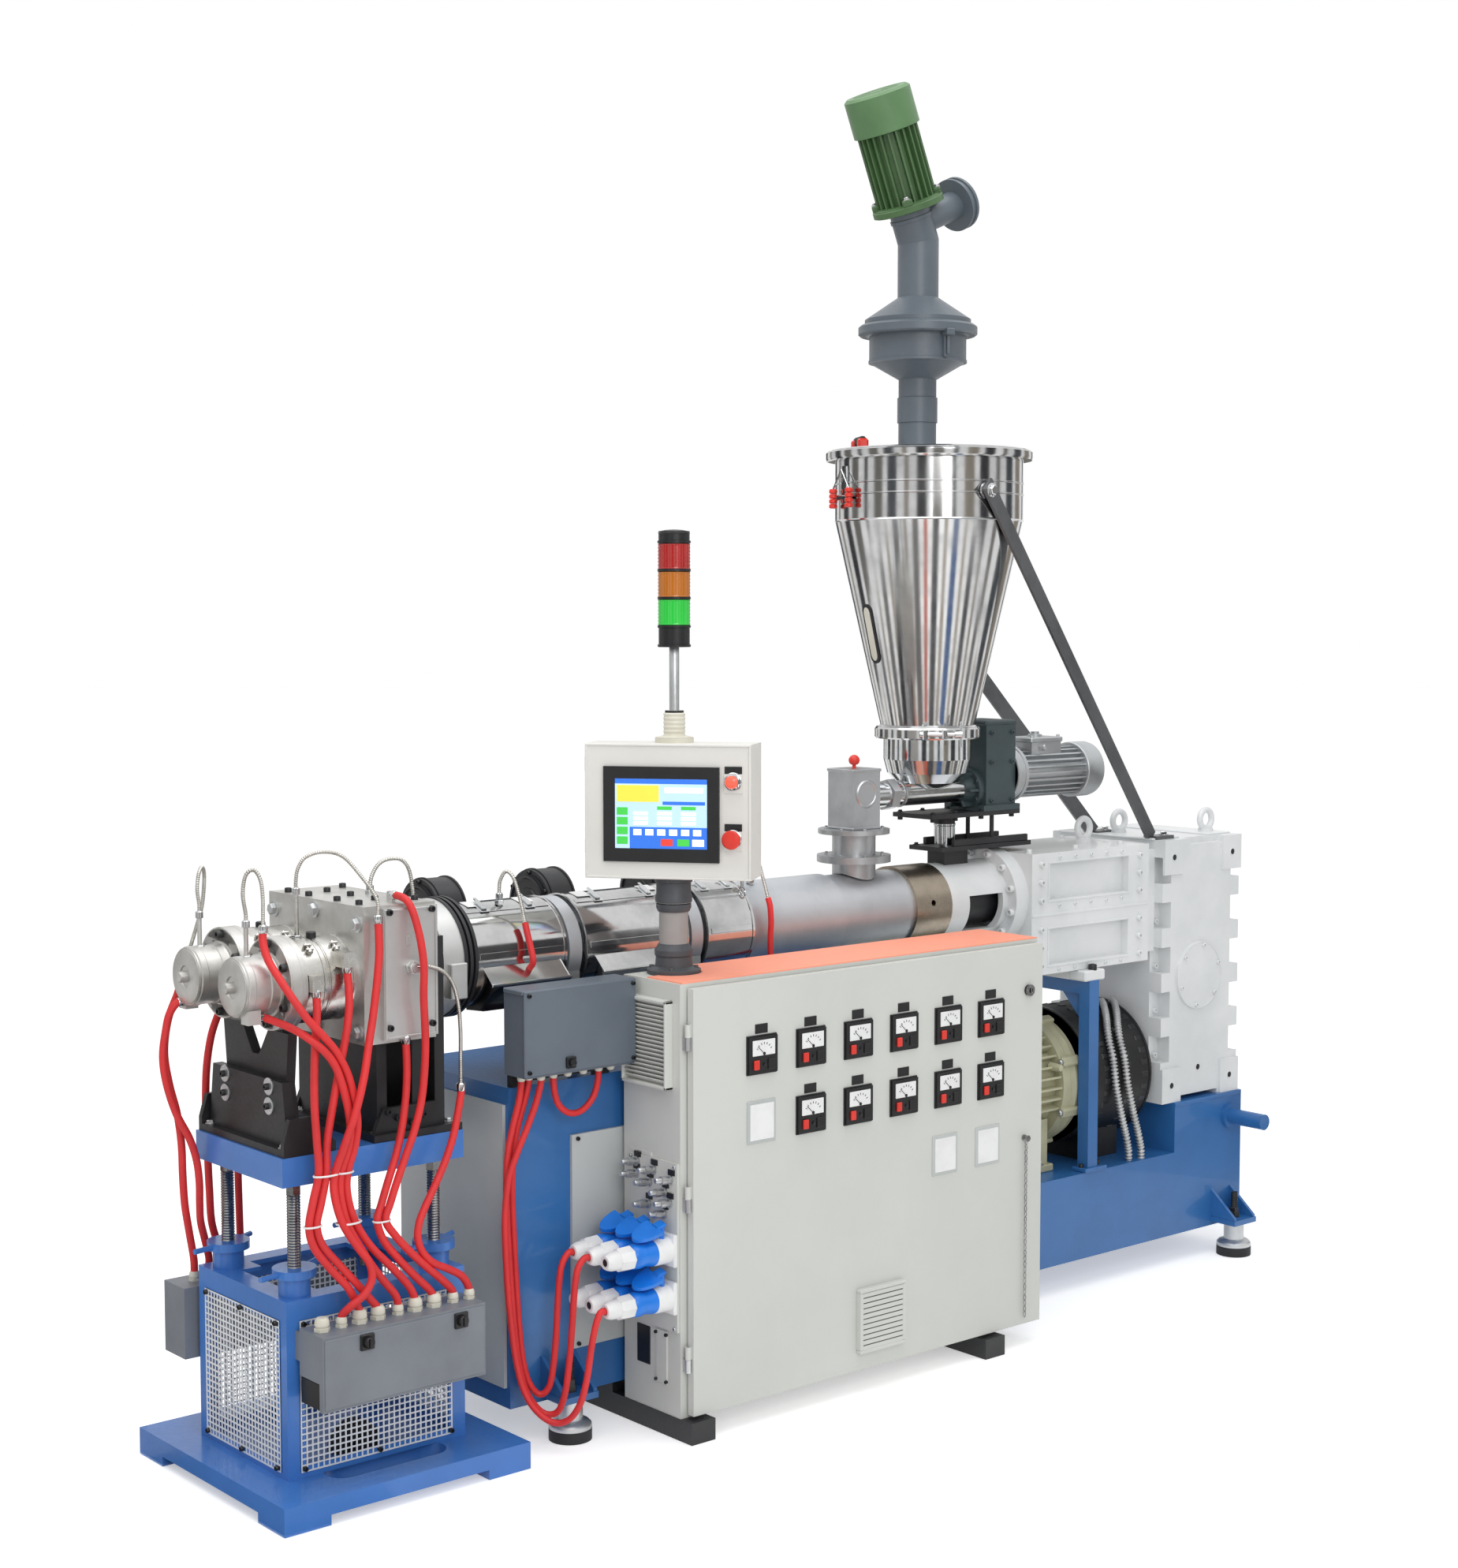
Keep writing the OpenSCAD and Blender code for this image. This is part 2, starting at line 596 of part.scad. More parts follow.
module gearbox() {
  color("#dcdee0") {
    difference() {
      box(box_x0, box_x1, box_y0, box_y1, seat_z, box_z1);
      for (i = [0:4], x = [box_x0 - 1, box_x1 - 39], y = [box_y0 - 1, box_y1 - 44])
        box(x, x + 40, y, y + 45, axis_z - 515 + i * 130, axis_z - 440 + i * 130);
      box(box_x0 + 90, box_x1 - 90, box_y0 - 1, box_y1 + 1, seat_z - 1, seat_z + 14);
      box(box_x0 + 120, box_x1 - 75, box_y0 - 1, box_y0 + 26, box_z1 - 18, box_z1 + 1);
    }
    for (x = [box_x0, box_x1 - 84], z = [seat_z, box_z1 - 100])
      box(x, x + 84, box_y0 - pad, box_y0, z, z + 100);
    ycyl(box_y0 - pad, box_y0, 99, box_x0 + 162, axis_z - 272);
  }
}

// three lifting eyes on the casting tops
module gearbox_eyebolts() {
  color("#dcdee0") for (e = eyebolts)
    translate(e) {
      cylinder(h = 14, r = 22);
      translate([0, 0, 40]) rotate([90, 0, 0]) rotate_extrude() translate([27, 0]) circle(r = 9, $fn = 24);
    }
}

// motor body along Z with cooling fins round it
module finned(h, body, reach, count, thick, bare = 0) {
  cylinder(h = h, r = body);
  for (i = [bare:count - max(bare, 1)]) rotate([0, 0, i * 360 / count])
    translate([body - 5, -thick / 2, 0]) cube([reach - body + 5, thick, h]);
}

module main_motor() {
  color("#b5b493") {
    translate([motor_x0 + 110, motor_y, motor_z]) rotate([0, 90, 0]) finned(400, 150, 176, 36, 6, 7);
    xcyl(motor_x0, motor_x0 + 110, motor_r, motor_y, motor_z);
    xcyl(motor_x0 + 510, motor_x1, 182, motor_y, motor_z);
    xcyl(motor_x1, guard_x0, 120, motor_y, motor_z);
    for (x = [motor_x0 + 130, motor_x0 + 410])
      box(x, x + 80, motor_y - 140, motor_y + 140, bed_low, motor_z - 90);
  }
}

module coupling_guard() {
  color("#1d1e20") {
    xcyl(guard_x0, guard_x1, guard_r, motor_y, motor_z);
    xcyl(guard_x1, box_x0, 80, motor_y, motor_z);
    box(guard_x0 + 55, guard_x1 - 60, motor_y - 120, motor_y + 120, bed_low, motor_z - 120);
  }
}

module portal() {
  color("#3f7dbb") {
    for (y = [bed_y0, bed_y1 - 38]) box(portal_x0, portal_x0 + 40, y, y + 38, bed_low, beam_z - 40);
    box(portal_x0, portal_x0 + 40, bed_y0, bed_y1, beam_z - 40, beam_z);
  }
}

module bed() {
  color("#3f7dbb") {
    box(bed_x0, bed_x1, bed_y0, bed_y1, bed_z0, bed_low);
    box(bed_x0, tall_x1, bed_y0, bed_y1, bed_low, bed_tall);
    box(seat_x0, bed_x1, bed_y0, bed_y1, bed_low, seat_z);
    for (x = [440, 2870]) box(x, x + 100, bed_y0 - 90, bed_y1 + 90, 95, 110);
    ycyl(bed_y0 - 12, bed_y1 + 12, 36, lift_x, lift_z);
    ycyl(bed_y0 - 130, bed_y1 + 130, lift_r, lift_x, lift_z);
  }
}

module bed_panels() {
  color("#c4c7c6") {
    box(bed_x0 - 8, bed_x0, bed_y0 + 12, bed_y1 - 12, 130, bed_tall - 40);
    for (x = [528, 908, 1288]) box(x, x + 340, bed_y0 - 8, bed_y0, 190, 690);
  }
}

module levelling_feet() {
  color("#2a2b2c") for (x = [490, 2920], y = [bed_y0 - 48, bed_y1 + 48]) {
    zcyl(0, 26, 50, x, y);
    zcyl(26, 95, 13, x, y);
  }
}

module feed_throat() {
  color("#c8cacb") difference() {
    union() {
      zcyl(axis_z, axis_z + 205, throat_r, throat_x, 0);
      zcyl(axis_z + 131, axis_z + 149, 97, throat_x, 0);
      zcyl(axis_z + 205, axis_z + 217, 94, throat_x, 0);
      box(throat_x - 48, throat_x + 48, -48, 48, axis_z + 217, axis_z + 373);
    }
    xcyl(throat_x - 120, throat_x + 120, bare_r + fit_gap);
  }
}

module feeder_trough() {
  color("#c8cacb") {
    xcyl(throat_x + 48, feeder_x0, feed_r, 0, feed_z);
    translate([hopper_x, 0, 0]) rotate_extrude()
      polygon([[0, hop_z0 - 150], [50, hop_z0 - 147], [85, hop_z0 - 133], [108, hop_z0 - 107],
        [118, hop_z0 - 70], [118, hop_z0], [0, hop_z0]]);
  }
}

module feeder_gearbox() {
  color("#3c4a4d") {
    box(feeder_x0, fmotor_x, -66, 66, plate_z + plate_t + 15, plate_z + 253);
    box(feeder_x0 - 17, fmotor_x + 10, -75, 75, plate_z + plate_t, plate_z + plate_t + 15);
  }
}

module feeder_motor() {
  color("#b8bcbd") {
    xcyl(fmotor_x, fmotor_x + 45, 78, 0, fmotor_z);
    translate([fmotor_x + 45, 0, fmotor_z]) rotate([0, 90, 0]) finned(245, 56, 70, 24, 5);
    xcyl(fmotor_x + 290, fmotor_x + 360, 76, 0, fmotor_z);
    box(fmotor_x + 90, fmotor_x + 210, -44, 44, fmotor_z + 50, fmotor_z + 92);
  }
}

module feeder_plates() {
  color("#1d1e20") difference() {
    union() {
      box(hopper_x - 55, hopper_x + 285, -75, 75, plate_z, plate_z + plate_t);
      zcyl(low_plate_z + plate_t, plate_z, 28, hopper_x + 68, 0);
      for (y = [-45, 45]) zcyl(low_plate_z + plate_t, plate_z, 6, hopper_x + 205, y);
      box(hopper_x - 5, hopper_x + 345, -62, 62, low_plate_z, low_plate_z + plate_t);
      box(hopper_x + 35, hopper_x + 125, -32, 32, axis_z + 50, low_plate_z);
    }
    xcyl(hopper_x - 55, hopper_x + 275, 106 + fit_gap);
  }
}

module hopper() {
  color("#c9cbcc") translate([hopper_x, 0, 0]) rotate_extrude()
    polygon([[0, hop_z0], [136, hop_z0], [136, hop_z0 + 16], [127, hop_z0 + 22], [hopper_r, cone_z1],
      [hopper_r, lid_z - 28], [hopper_r + 20, lid_z - 28], [hopper_r + 20, lid_z - 4], [hopper_r + 10, lid_z],
      [0, lid_z]]);
}

// flat bar from a to b with a round stud through its upper end, seated on the hopper wall
module stay(a, b, w, t, side) {
  d = b - a;
  run = norm([d[0], d[1]]);
  seat = hopper_gap - 0.7;
  translate(a) rotate([0, atan2(-d[2], run), atan2(d[1], d[0])]) {
    translate([-w / 2, -t / 2, -w / 2]) cube([norm(d) + w / 2, t, w]);
    translate([0, side > 0 ? -seat : -hopper_gap, 0]) rotate([-90, 0, 0])
      cylinder(h = seat + hopper_gap, r = 13);
  }
}

module hopper_stays() {
  color("#6e7072") for (s = [-1, 1]) {
    difference() {
      stay([stay_x, s * (hopper_r + hopper_gap), stay_z], [box_x0 + 8, s * 110, box_z1 + 6], 44, 8, s);
      box(box_x0 - 150, box_x0 + 150, -300, 300, axis_z - 105, box_z1 + 5);
    }
    box(box_x0 + 2, box_x0 + 80, s * 110 - 24, s * 110 + 24, box_z1, box_z1 + 10);
  }
}

// frame that leans with the loader motor
module leaning() {
  translate([loader_x, 0, elbow_z]) rotate([0, -lean, 0]) children();
}

// half space above the mitre of the loader elbow
module above_mitre(drop) {
  translate([loader_x, 0, elbow_z]) rotate([0, -lean / 2, 0]) translate([-200, -200, -drop]) cube(400);
}

module loader_body() {
  color("#5d666e") difference() {
    translate([loader_x, 0, 0]) rotate_extrude()
      polygon([[0, lid_z], [pipe_r, lid_z], [pipe_r, lid_z + 184], [128, lid_z + 229],
        [128, lid_z + 296], [153, lid_z + 302], [153, lid_z + 322], [140, lid_z + 328], [140, lid_z + 340],
        [54, lid_z + 398], [54, elbow_z + 80], [0, elbow_z + 80]]);
    above_mitre(0);
  }
}

module loader_elbow() {
  color("#5d666e") {
    difference() {
      leaning() translate([0, 0, -80]) cylinder(h = motor_s + 80, r = 54);
      above_mitre(400);
    }
    leaning() translate([0, 0, 50]) rotate([0, 90, 0]) cylinder(h = 165, r = 38);
    leaning() translate([165, 0, 50]) rotate([0, 90, 0]) cylinder(h = 22, r = 66);
  }
}

module loader_motor() {
  color("#4e7a4a") leaning() {
    translate([0, 0, motor_s]) cylinder(h = 18, r = 92);
    translate([0, 0, motor_s + 18]) finned(190, 66, 80, 24, 5);
    translate([0, 0, motor_s + 208]) cylinder(h = 95, r = 86);
  }
}

module cabinet_shell() {
  color("#d0d2cd") difference() {
    box(cab_x0, cab_x1, cab_y0, cab_y1, cab_z0, cab_z1);
    box(cab_x0 + sheet, cab_x1 - sheet, cab_y0 + sheet, cab_y1 - sheet, cab_z0 + sheet, cab_z1 - sheet);
    box(cab_x0 + 34, cab_x1 - 34, cab_y0 - 1, cab_y0 + sheet + 1, cab_z0 + 34, cab_z1 - 34);
  }
}

module cabinet_base() {
  color("#1d1e20") for (x = [668, 1630]) {
    box(x, x + 70, -445, 120, 0, cab_z0);
    box(x, x + 70, -150, 120, cab_z0, bed_z0);
  }
}

module cabinet_mat() {
  color("#ffa58a") difference() {
    box(cab_x0 + 6, cab_x1, cab_y0, cab_y1, cab_z1, cab_z1 + 3);
    zcyl(cab_z1 - 1, cab_z1 + 5, 66, post_x, post_y);
    box(cab_x0, post_x, post_y - 20, cab_y1 + 1, cab_z1 - 1, cab_z1 + 5);
  }
}

module mounting_plate() {
  color("#b9bcbe") {
    box(cab_x0 + 60, cab_x1 - 60, cab_y1 - 40, cab_y1 - 37, cab_z0 + 70, cab_z1 - 70);
    for (x = [cab_x0 + 80, cab_x1 - 100], z = [cab_z0 + 90, cab_z1 - 110])
      box(x, x + 20, cab_y1 - 37, cab_y1 - sheet, z, z + 20);
  }
}

module socket_plate() {
  color("#c6c8c6") box(cab_x0 - 6, cab_x0, -398, -222, 250, 640);
}

module plugs() {
  color("#1a6fe0") for (y = [-370, -310, -250], z = [330, 440]) {
    box(cab_x0 - 40, cab_x0 - 6, y - 26, y + 26, z - 34, z + 34);
    xcyl(cab_x0 - 120, cab_x0 - 40, 26, y, z);
    xcyl(cab_x0 - 165, cab_x0 - 120, 22, y, z);
    xcyl(cab_x0 - 190, cab_x0 - 165, 14, y, z);
  }
}

module hinge_places() {
  for (z = [160, 530, 900]) translate([hinge_x, hinge_y, z]) children();
}

module door_hinges() {
  color("#8d8f90") hinge_places() {
    cylinder(h = 60, r = pin_r);
    cylinder(h = 30, r = 7);
    translate([-4, 0, 0]) cube([8, cab_y0 - hinge_y, 30]);
  }
}

module cabinet_door() {
  color("#d0d2cd") {
    difference() {
      box(door_x0, door_x1, door_y0, door_y1, door_z0, door_z1);
      box(door_x0 + 20, door_x1 - 20, door_y0 + 2, door_y1 + 1, door_z0 + 20, door_z1 - 20);
    }
    hinge_places() translate([0, 0, 30.5]) difference() {
      union() {
        cylinder(h = 29, r = 7);
        translate([0, -4, 0]) cube([door_x0 - hinge_x + 1, 8, 29]);
      }
      translate([0, 0, -1]) cylinder(h = 40, r = pin_r + 0.05);
    }
  }
}

module door_meters() {
  color("#1b1c1e") {
    for (i = [0:5]) box(848 + i * 153, 934 + i * 153, door_y0 - 9, door_y0, 826, 912);
    for (i = [1:5]) box(848 + i * 153, 934 + i * 153, door_y0 - 9, door_y0, 667, 753);
    box(1200, 1345, door_y0 - 12, door_y0, 105, 255);
    ycyl(door_y0 - 8, door_y0, 14, 1795, 925);
  }
}

module hmi_post() {
  color("#5a5d60") {
    zcyl(cab_z1, cab_z1 + 12, 60, post_x, post_y);
    zcyl(cab_z1 + 12, cab_z1 + 60, 40, post_x, post_y);
    zcyl(cab_z1 + 60, post_top, 31, post_x, post_y);
    zcyl(post_top, post_top + 30, 20, post_x, post_y);
  }
}

module turned() {
  translate([post_x, post_y, 0]) rotate([0, 0, -hmi_turn]) children();
}

module hmi_case() {
  color("#d6d7d2") turned() {
    difference() {
      translate([0, 0, post_top + 0.5]) cylinder(h = hmi_z0 - post_top - 0.5, r = 40);
      translate([0, 0, post_top]) cylinder(h = 35, r = 20.05);
    }
    box(-hmi_w / 2, hmi_w / 2, -hmi_d / 2, hmi_d / 2, hmi_z0, hmi_z1);
  }
}

module hmi_front() {
  color("#17181a") turned() {
    box(-150, 122, -hmi_d / 2 - 8, -hmi_d / 2, hmi_z0 + 40, hmi_z1 - 52);
    for (z = [hmi_z0 + 70, hmi_z1 - 110]) box(134, 174, -hmi_d / 2 - 3, -hmi_d / 2, z, z + 60);
    for (z = [hmi_z0 + 96, hmi_z1 - 84]) ycyl(-hmi_d / 2 - 22, -hmi_d / 2 - 3, 14, 154, z);
  }
}

module tower_light() {
  color("#202224") turned() translate([0, 10, 0]) {
    translate([0, 0, hmi_z1]) cylinder(h = 12, r = 44);
    translate([0, 0, hmi_z1 + 12]) cylinder(h = 62, r = 22);
    translate([0, 0, hmi_z1 + 74]) cylinder(h = 146, r = 11);
    translate([0, 0, hmi_z1 + 220]) cylinder(h = 266, r = 36);
  }
}

// a route point at the height that follows the barrel axis and the lead boxes
function hung(q) = [q[0], q[1], q[2] > shown_axis ? q[2] + axis_z - shown_axis :
  lead_box_z + (q[2] - shown_box) * (axis_z - lead_box_z) / (shown_axis - shown_box)];

function unit(v) = v / norm(v);

// direction of a route at its point i
function heading(pts, i) = unit(pts[min(i + 1, len(pts) - 1)] - pts[max(i - 1, 0)]);

// one ring of a tube round point i
function tube_ring(pts, i, r) =
  let (t = heading(pts, i), u = unit(cross(t, [0.1, 0.98, 0.17])), v = cross(t, u))
  [for (k = [0:tube_sides - 1]) pts[i] + r * (cos(k * 360 / tube_sides) * u + sin(k * 360 / tube_sides) * v)];

// round tube swept along a route
module tube(pts, r) {
  last = len(pts) - 1;
  n = tube_sides;
  points = [for (i = [0:last]) each tube_ring(pts, i, r)];
  walls = [for (i = [0:last - 1], k = [0:n - 1], side = [0, 1])
    side == 0 ? [i * n + k, i * n + (k + 1) % n, (i + 1) * n + k]
      : [i * n + (k + 1) % n, (i + 1) * n + (k + 1) % n, (i + 1) * n + k]];
  polyhedron(points, concat([[for (k = [n - 1:-1:0]) k]], walls, [[for (k = [0:n - 1]) last * n + k]]));
}

module die_leads() {
  color("#e8382f") for (route = die_routes) tube([for (q = route) hung(q)], lead_r);
}

module sensor_leads() {
  color("#c8c6c0") for (route = sensor_routes) tube([for (q = route) hung(q)], armour_r);
}

module plug_leads() {
  color("#e8382f") for (route = plug_routes) tube(route, lead_r);
}

die_stand_base();
die_stand_frame();
die_stand_mesh();
stand_boxes();
stand_nuts();
stand_screws();
die_table();
die_bracket_front();
die_bracket_rear();
die_block();
die_side_plate();
die_heads();
die_bands();
adaptor_disc();
clamp_rings();
barrel();
barrel_covers();
terminal_covers();
blowers();
barrel_saddles();
terminal_box();
box_bracket();
throat_ring();
lantern();
lantern_sleeve();
transfer_case();
gearbox();
main_motor();
coupling_guard();
portal();
bed();
bed_panels();
levelling_feet();
feed_throat();
feeder_trough();
feeder_gearbox();
feeder_motor();
feeder_plates();
hopper();
hopper_stays();
loader_body();
loader_elbow();
loader_motor();
cabinet_shell();
cabinet_base();
cabinet_mat();
mounting_plate();
socket_plate();
plugs();
door_hinges();
cabinet_door();
door_meters();
hmi_post();
hmi_case();
hmi_front();
tower_light();
gearbox_eyebolts();
die_leads();
sensor_leads();
plug_leads();
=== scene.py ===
# %% [markdown]
# # A plastic extruder on its die stand
# The machine is a heated barrel on a blue bed, fed by a hopper and driven by a motor and gearbox,
# with a two-outlet die on a stand of its own at the front. The solid model comes from the frame;
# this lesson gives it its finishes and its small hardware.

import itertools
import math

import bmesh
import bpy
from mathutils import Matrix, Vector


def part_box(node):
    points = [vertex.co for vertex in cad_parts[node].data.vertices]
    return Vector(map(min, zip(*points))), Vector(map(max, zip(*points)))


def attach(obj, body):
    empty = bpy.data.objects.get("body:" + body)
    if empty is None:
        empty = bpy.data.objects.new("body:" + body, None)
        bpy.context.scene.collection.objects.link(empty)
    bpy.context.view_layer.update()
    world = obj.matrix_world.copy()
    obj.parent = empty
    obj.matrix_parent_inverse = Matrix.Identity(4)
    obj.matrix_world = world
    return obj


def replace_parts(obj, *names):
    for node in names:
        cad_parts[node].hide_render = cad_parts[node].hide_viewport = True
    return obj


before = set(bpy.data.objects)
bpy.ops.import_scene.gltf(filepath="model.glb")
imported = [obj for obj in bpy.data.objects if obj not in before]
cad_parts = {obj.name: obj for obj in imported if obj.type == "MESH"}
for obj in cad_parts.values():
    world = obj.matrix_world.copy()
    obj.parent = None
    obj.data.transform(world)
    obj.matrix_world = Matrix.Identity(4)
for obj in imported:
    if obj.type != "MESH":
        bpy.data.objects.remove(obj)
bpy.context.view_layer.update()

# %% [markdown]
# ## Camera
# The picture was taken from the die end, a little above the barrel, with a long lens.
# The place and the lens were worked out from edges of the machine whose sizes are known,
# so the camera needs no shift. A longer side of 1988 pixels spans the 36 mm sensor.

# %% Camera
PHOTO_H = 1988
FOCAL_PX = 3000
SENSOR_MM = 36.0
lens = bpy.data.cameras.new("lens")
lens.sensor_fit = "VERTICAL"
lens.sensor_height = SENSOR_MM
lens.lens = FOCAL_PX / PHOTO_H * SENSOR_MM
lens.clip_end = 60
camera = bpy.data.objects.new("camera", lens)
bpy.context.scene.collection.objects.link(camera)
camera.location = (-2.6603, -4.4996, 1.8813)
camera.rotation_euler = (math.radians(90 - 4.1), 0, math.radians(-40.3))
bpy.context.scene.camera = camera
bpy.context.scene.view_settings.view_transform = "Standard"
print("lens", round(lens.lens, 2), "mm")

# %% [markdown]
# ## Floor, sky and lamps
# A plain pale floor fades into a white surround. Both are white to the eye and in polished steel,
# and dimmer as a light, so that pale paint keeps its colour. One broad lamp overhead and one at
# the operator's side give soft shadows. A circle of upright boards stands outside the picture
# and is seen only in reflections: without something dark to mirror, polished steel would
# look like white paint.

# %% Floor and reflected boards
FLOOR_COLOUR = (0.93, 0.93, 0.925, 1)


def stage_sheet(name, width, depth, place, aim, colour):
    """A flat sheet of the studio, facing a point."""
    mesh = bpy.data.meshes.new(name)
    corners = [(-width / 2, -depth / 2, 0), (width / 2, -depth / 2, 0),
               (width / 2, depth / 2, 0), (-width / 2, depth / 2, 0)]
    mesh.from_pydata(corners, [], [(0, 1, 2, 3)])
    sheet = bpy.data.objects.new(name, mesh)
    bpy.context.scene.collection.objects.link(sheet)
    sheet.location = place
    sheet.rotation_euler = (Vector(aim) - Vector(place)).to_track_quat("Z", "Y").to_euler()
    coat = bpy.data.materials.new(name)
    coat.use_nodes = True
    shader = coat.node_tree.nodes["Principled BSDF"]
    shader.inputs["Base Color"].default_value = colour
    shader.inputs["Roughness"].default_value = 0.9
    mesh.materials.append(coat)
    return sheet


def add_node(tree, kind, **values):
    """A new shader node with some of its inputs set; To_Min stands for the input "To Min"."""
    made = tree.nodes.new("ShaderNode" + kind)
    for key, value in values.items():
        made.inputs[key.replace("_", " ")].default_value = value
    return made


def white_to_the_eye(tree, low, high, socket):
    """Set a strength: high for rays from the eye or a mirror, low for rays that carry light."""
    rays = add_node(tree, "LightPath")
    mirrored = add_node(tree, "Math")
    seen = add_node(tree, "Math")
    mirrored.operation = seen.operation = "MAXIMUM"
    level = add_node(tree, "MapRange", To_Min=low, To_Max=high)
    tree.links.new(rays.outputs["Is Glossy Ray"], mirrored.inputs[0])
    tree.links.new(rays.outputs["Is Transmission Ray"], mirrored.inputs[1])
    tree.links.new(rays.outputs["Is Camera Ray"], seen.inputs[0])
    tree.links.new(mirrored.outputs[0], seen.inputs[1])
    tree.links.new(seen.outputs[0], level.inputs["Value"])
    tree.links.new(level.outputs["Result"], socket)


floor = stage_sheet("studio_floor", 160, 160, (0, 0, -0.001), (0, 0, 1), FLOOR_COLOUR)
floor_tree = floor.data.materials[0].node_tree
floor_shader = floor_tree.nodes["Principled BSDF"]
floor_shader.inputs["Emission Color"].default_value = (1, 1, 1, 1)
white_to_the_eye(floor_tree, 0.0, 0.42, floor_shader.inputs["Emission Strength"])

BOARD_COLOURS = [(0.03, 0.03, 0.035, 1), (0.20, 0.19, 0.17, 1), (0.07, 0.08, 0.09, 1), (0.35, 0.31, 0.25, 1)]
BOARD_AWAY, BOARD_TALL = 6.5, 3.4
RING_X = 1.2
for k in range(18):
    turn = math.radians(140 + 20 * k)
    place = (RING_X + BOARD_AWAY * math.cos(turn), BOARD_AWAY * math.sin(turn), BOARD_TALL / 2)
    board = stage_sheet(f"board_{k}", 1.5 if k % 3 else 0.7, BOARD_TALL, place,
                        (RING_X, 0, BOARD_TALL / 2), BOARD_COLOURS[k % 4])
    board.visible_camera = board.visible_diffuse = board.visible_shadow = False
print("floor and", k + 1, "boards")

# %% [markdown]
# The cone of the hopper looks down at the floor around it. Narrow strips lie there like the spokes
# of a wheel, again seen only in reflections, and give its steel the upright streaks.

# %% Reflected strips
STRIP_COLOURS = [(0.05, 0.05, 0.055, 1), (0.40, 0.34, 0.27, 1), (0.16, 0.15, 0.14, 1), (0.52, 0.46, 0.38, 1)]
STRIP_ACCENTS = {11: (0.60, 0.10, 0.04, 1), 14: (0.05, 0.12, 0.30, 1)}
STRIP_AWAY, WHEEL_X = 3.9, 1.85
for k in range(22):
    turn = math.radians(78 + 13 * k)
    place = (WHEEL_X + STRIP_AWAY * math.cos(turn), STRIP_AWAY * math.sin(turn), 0.004)
    colour = STRIP_ACCENTS.get(k, STRIP_COLOURS[k % 4])
    strip = stage_sheet(f"strip_{k}", 4.0, 0.4 if k % 2 else 0.7, place, (0, 0, 1), colour)
    strip.rotation_euler = (0, 0, turn)
    strip.visible_camera = strip.visible_diffuse = strip.visible_shadow = False
print(k + 1, "strips")

# %% [markdown]
# The sky is a plain white world. Two area lamps do the rest; broad lamps give the soft edges that
# a bright hall gives, while a sun lamp would draw hard lines under every lead.

# %% Sky and lamps
sky = bpy.data.worlds.new("white_surround")
bpy.context.scene.world = sky
sky.use_nodes = True
glow = sky.node_tree.nodes["Background"]
glow.inputs["Color"].default_value = (1, 1, 1, 1)
white_to_the_eye(sky.node_tree, 0.62, 1.0, glow.inputs["Strength"])

LAMPS = [("overhead", (0.5, -0.5, 5.5), 5.0, 150), ("operator_side", (-1.5, -5.5, 3.6), 3.0, 95)]
for name, place, width, watts in LAMPS:
    lamp = bpy.data.lights.new(name, "AREA")
    lamp.size = width
    lamp.energy = watts
    holder = bpy.data.objects.new(name, lamp)
    bpy.context.scene.collection.objects.link(holder)
    holder.location = place
    holder.rotation_euler = (Vector((1.0, 0, 0.9)) - Vector(place)).to_track_quat("-Z", "Y").to_euler()
print("lamps:", [row[0] for row in LAMPS])

# %% [markdown]
# ## Finishes
# Every finish is a small node tree. A cloud of noise drifts the colour from fresh to worn, a finer
# noise changes the roughness and lifts a bump, and the fine noise can be stretched along one
# direction, which is what makes steel look turned, brushed or rolled. The colours are written as
# they show in the picture; a helper turns them to the linear numbers that shaders use.

# %% The helper that mixes a finish
FINISHES = {}
BUMP_DEEP = 0.0006


def linear(code):
    """'#rrggbb' as the linear colour that a shader wants."""
    channels = [int(code[i:i + 2], 16) / 255 for i in (1, 3, 5)]
    return tuple((c / 12.92 if c <= 0.04045 else ((c + 0.055) / 1.055) ** 2.4) for c in channels) + (1,)


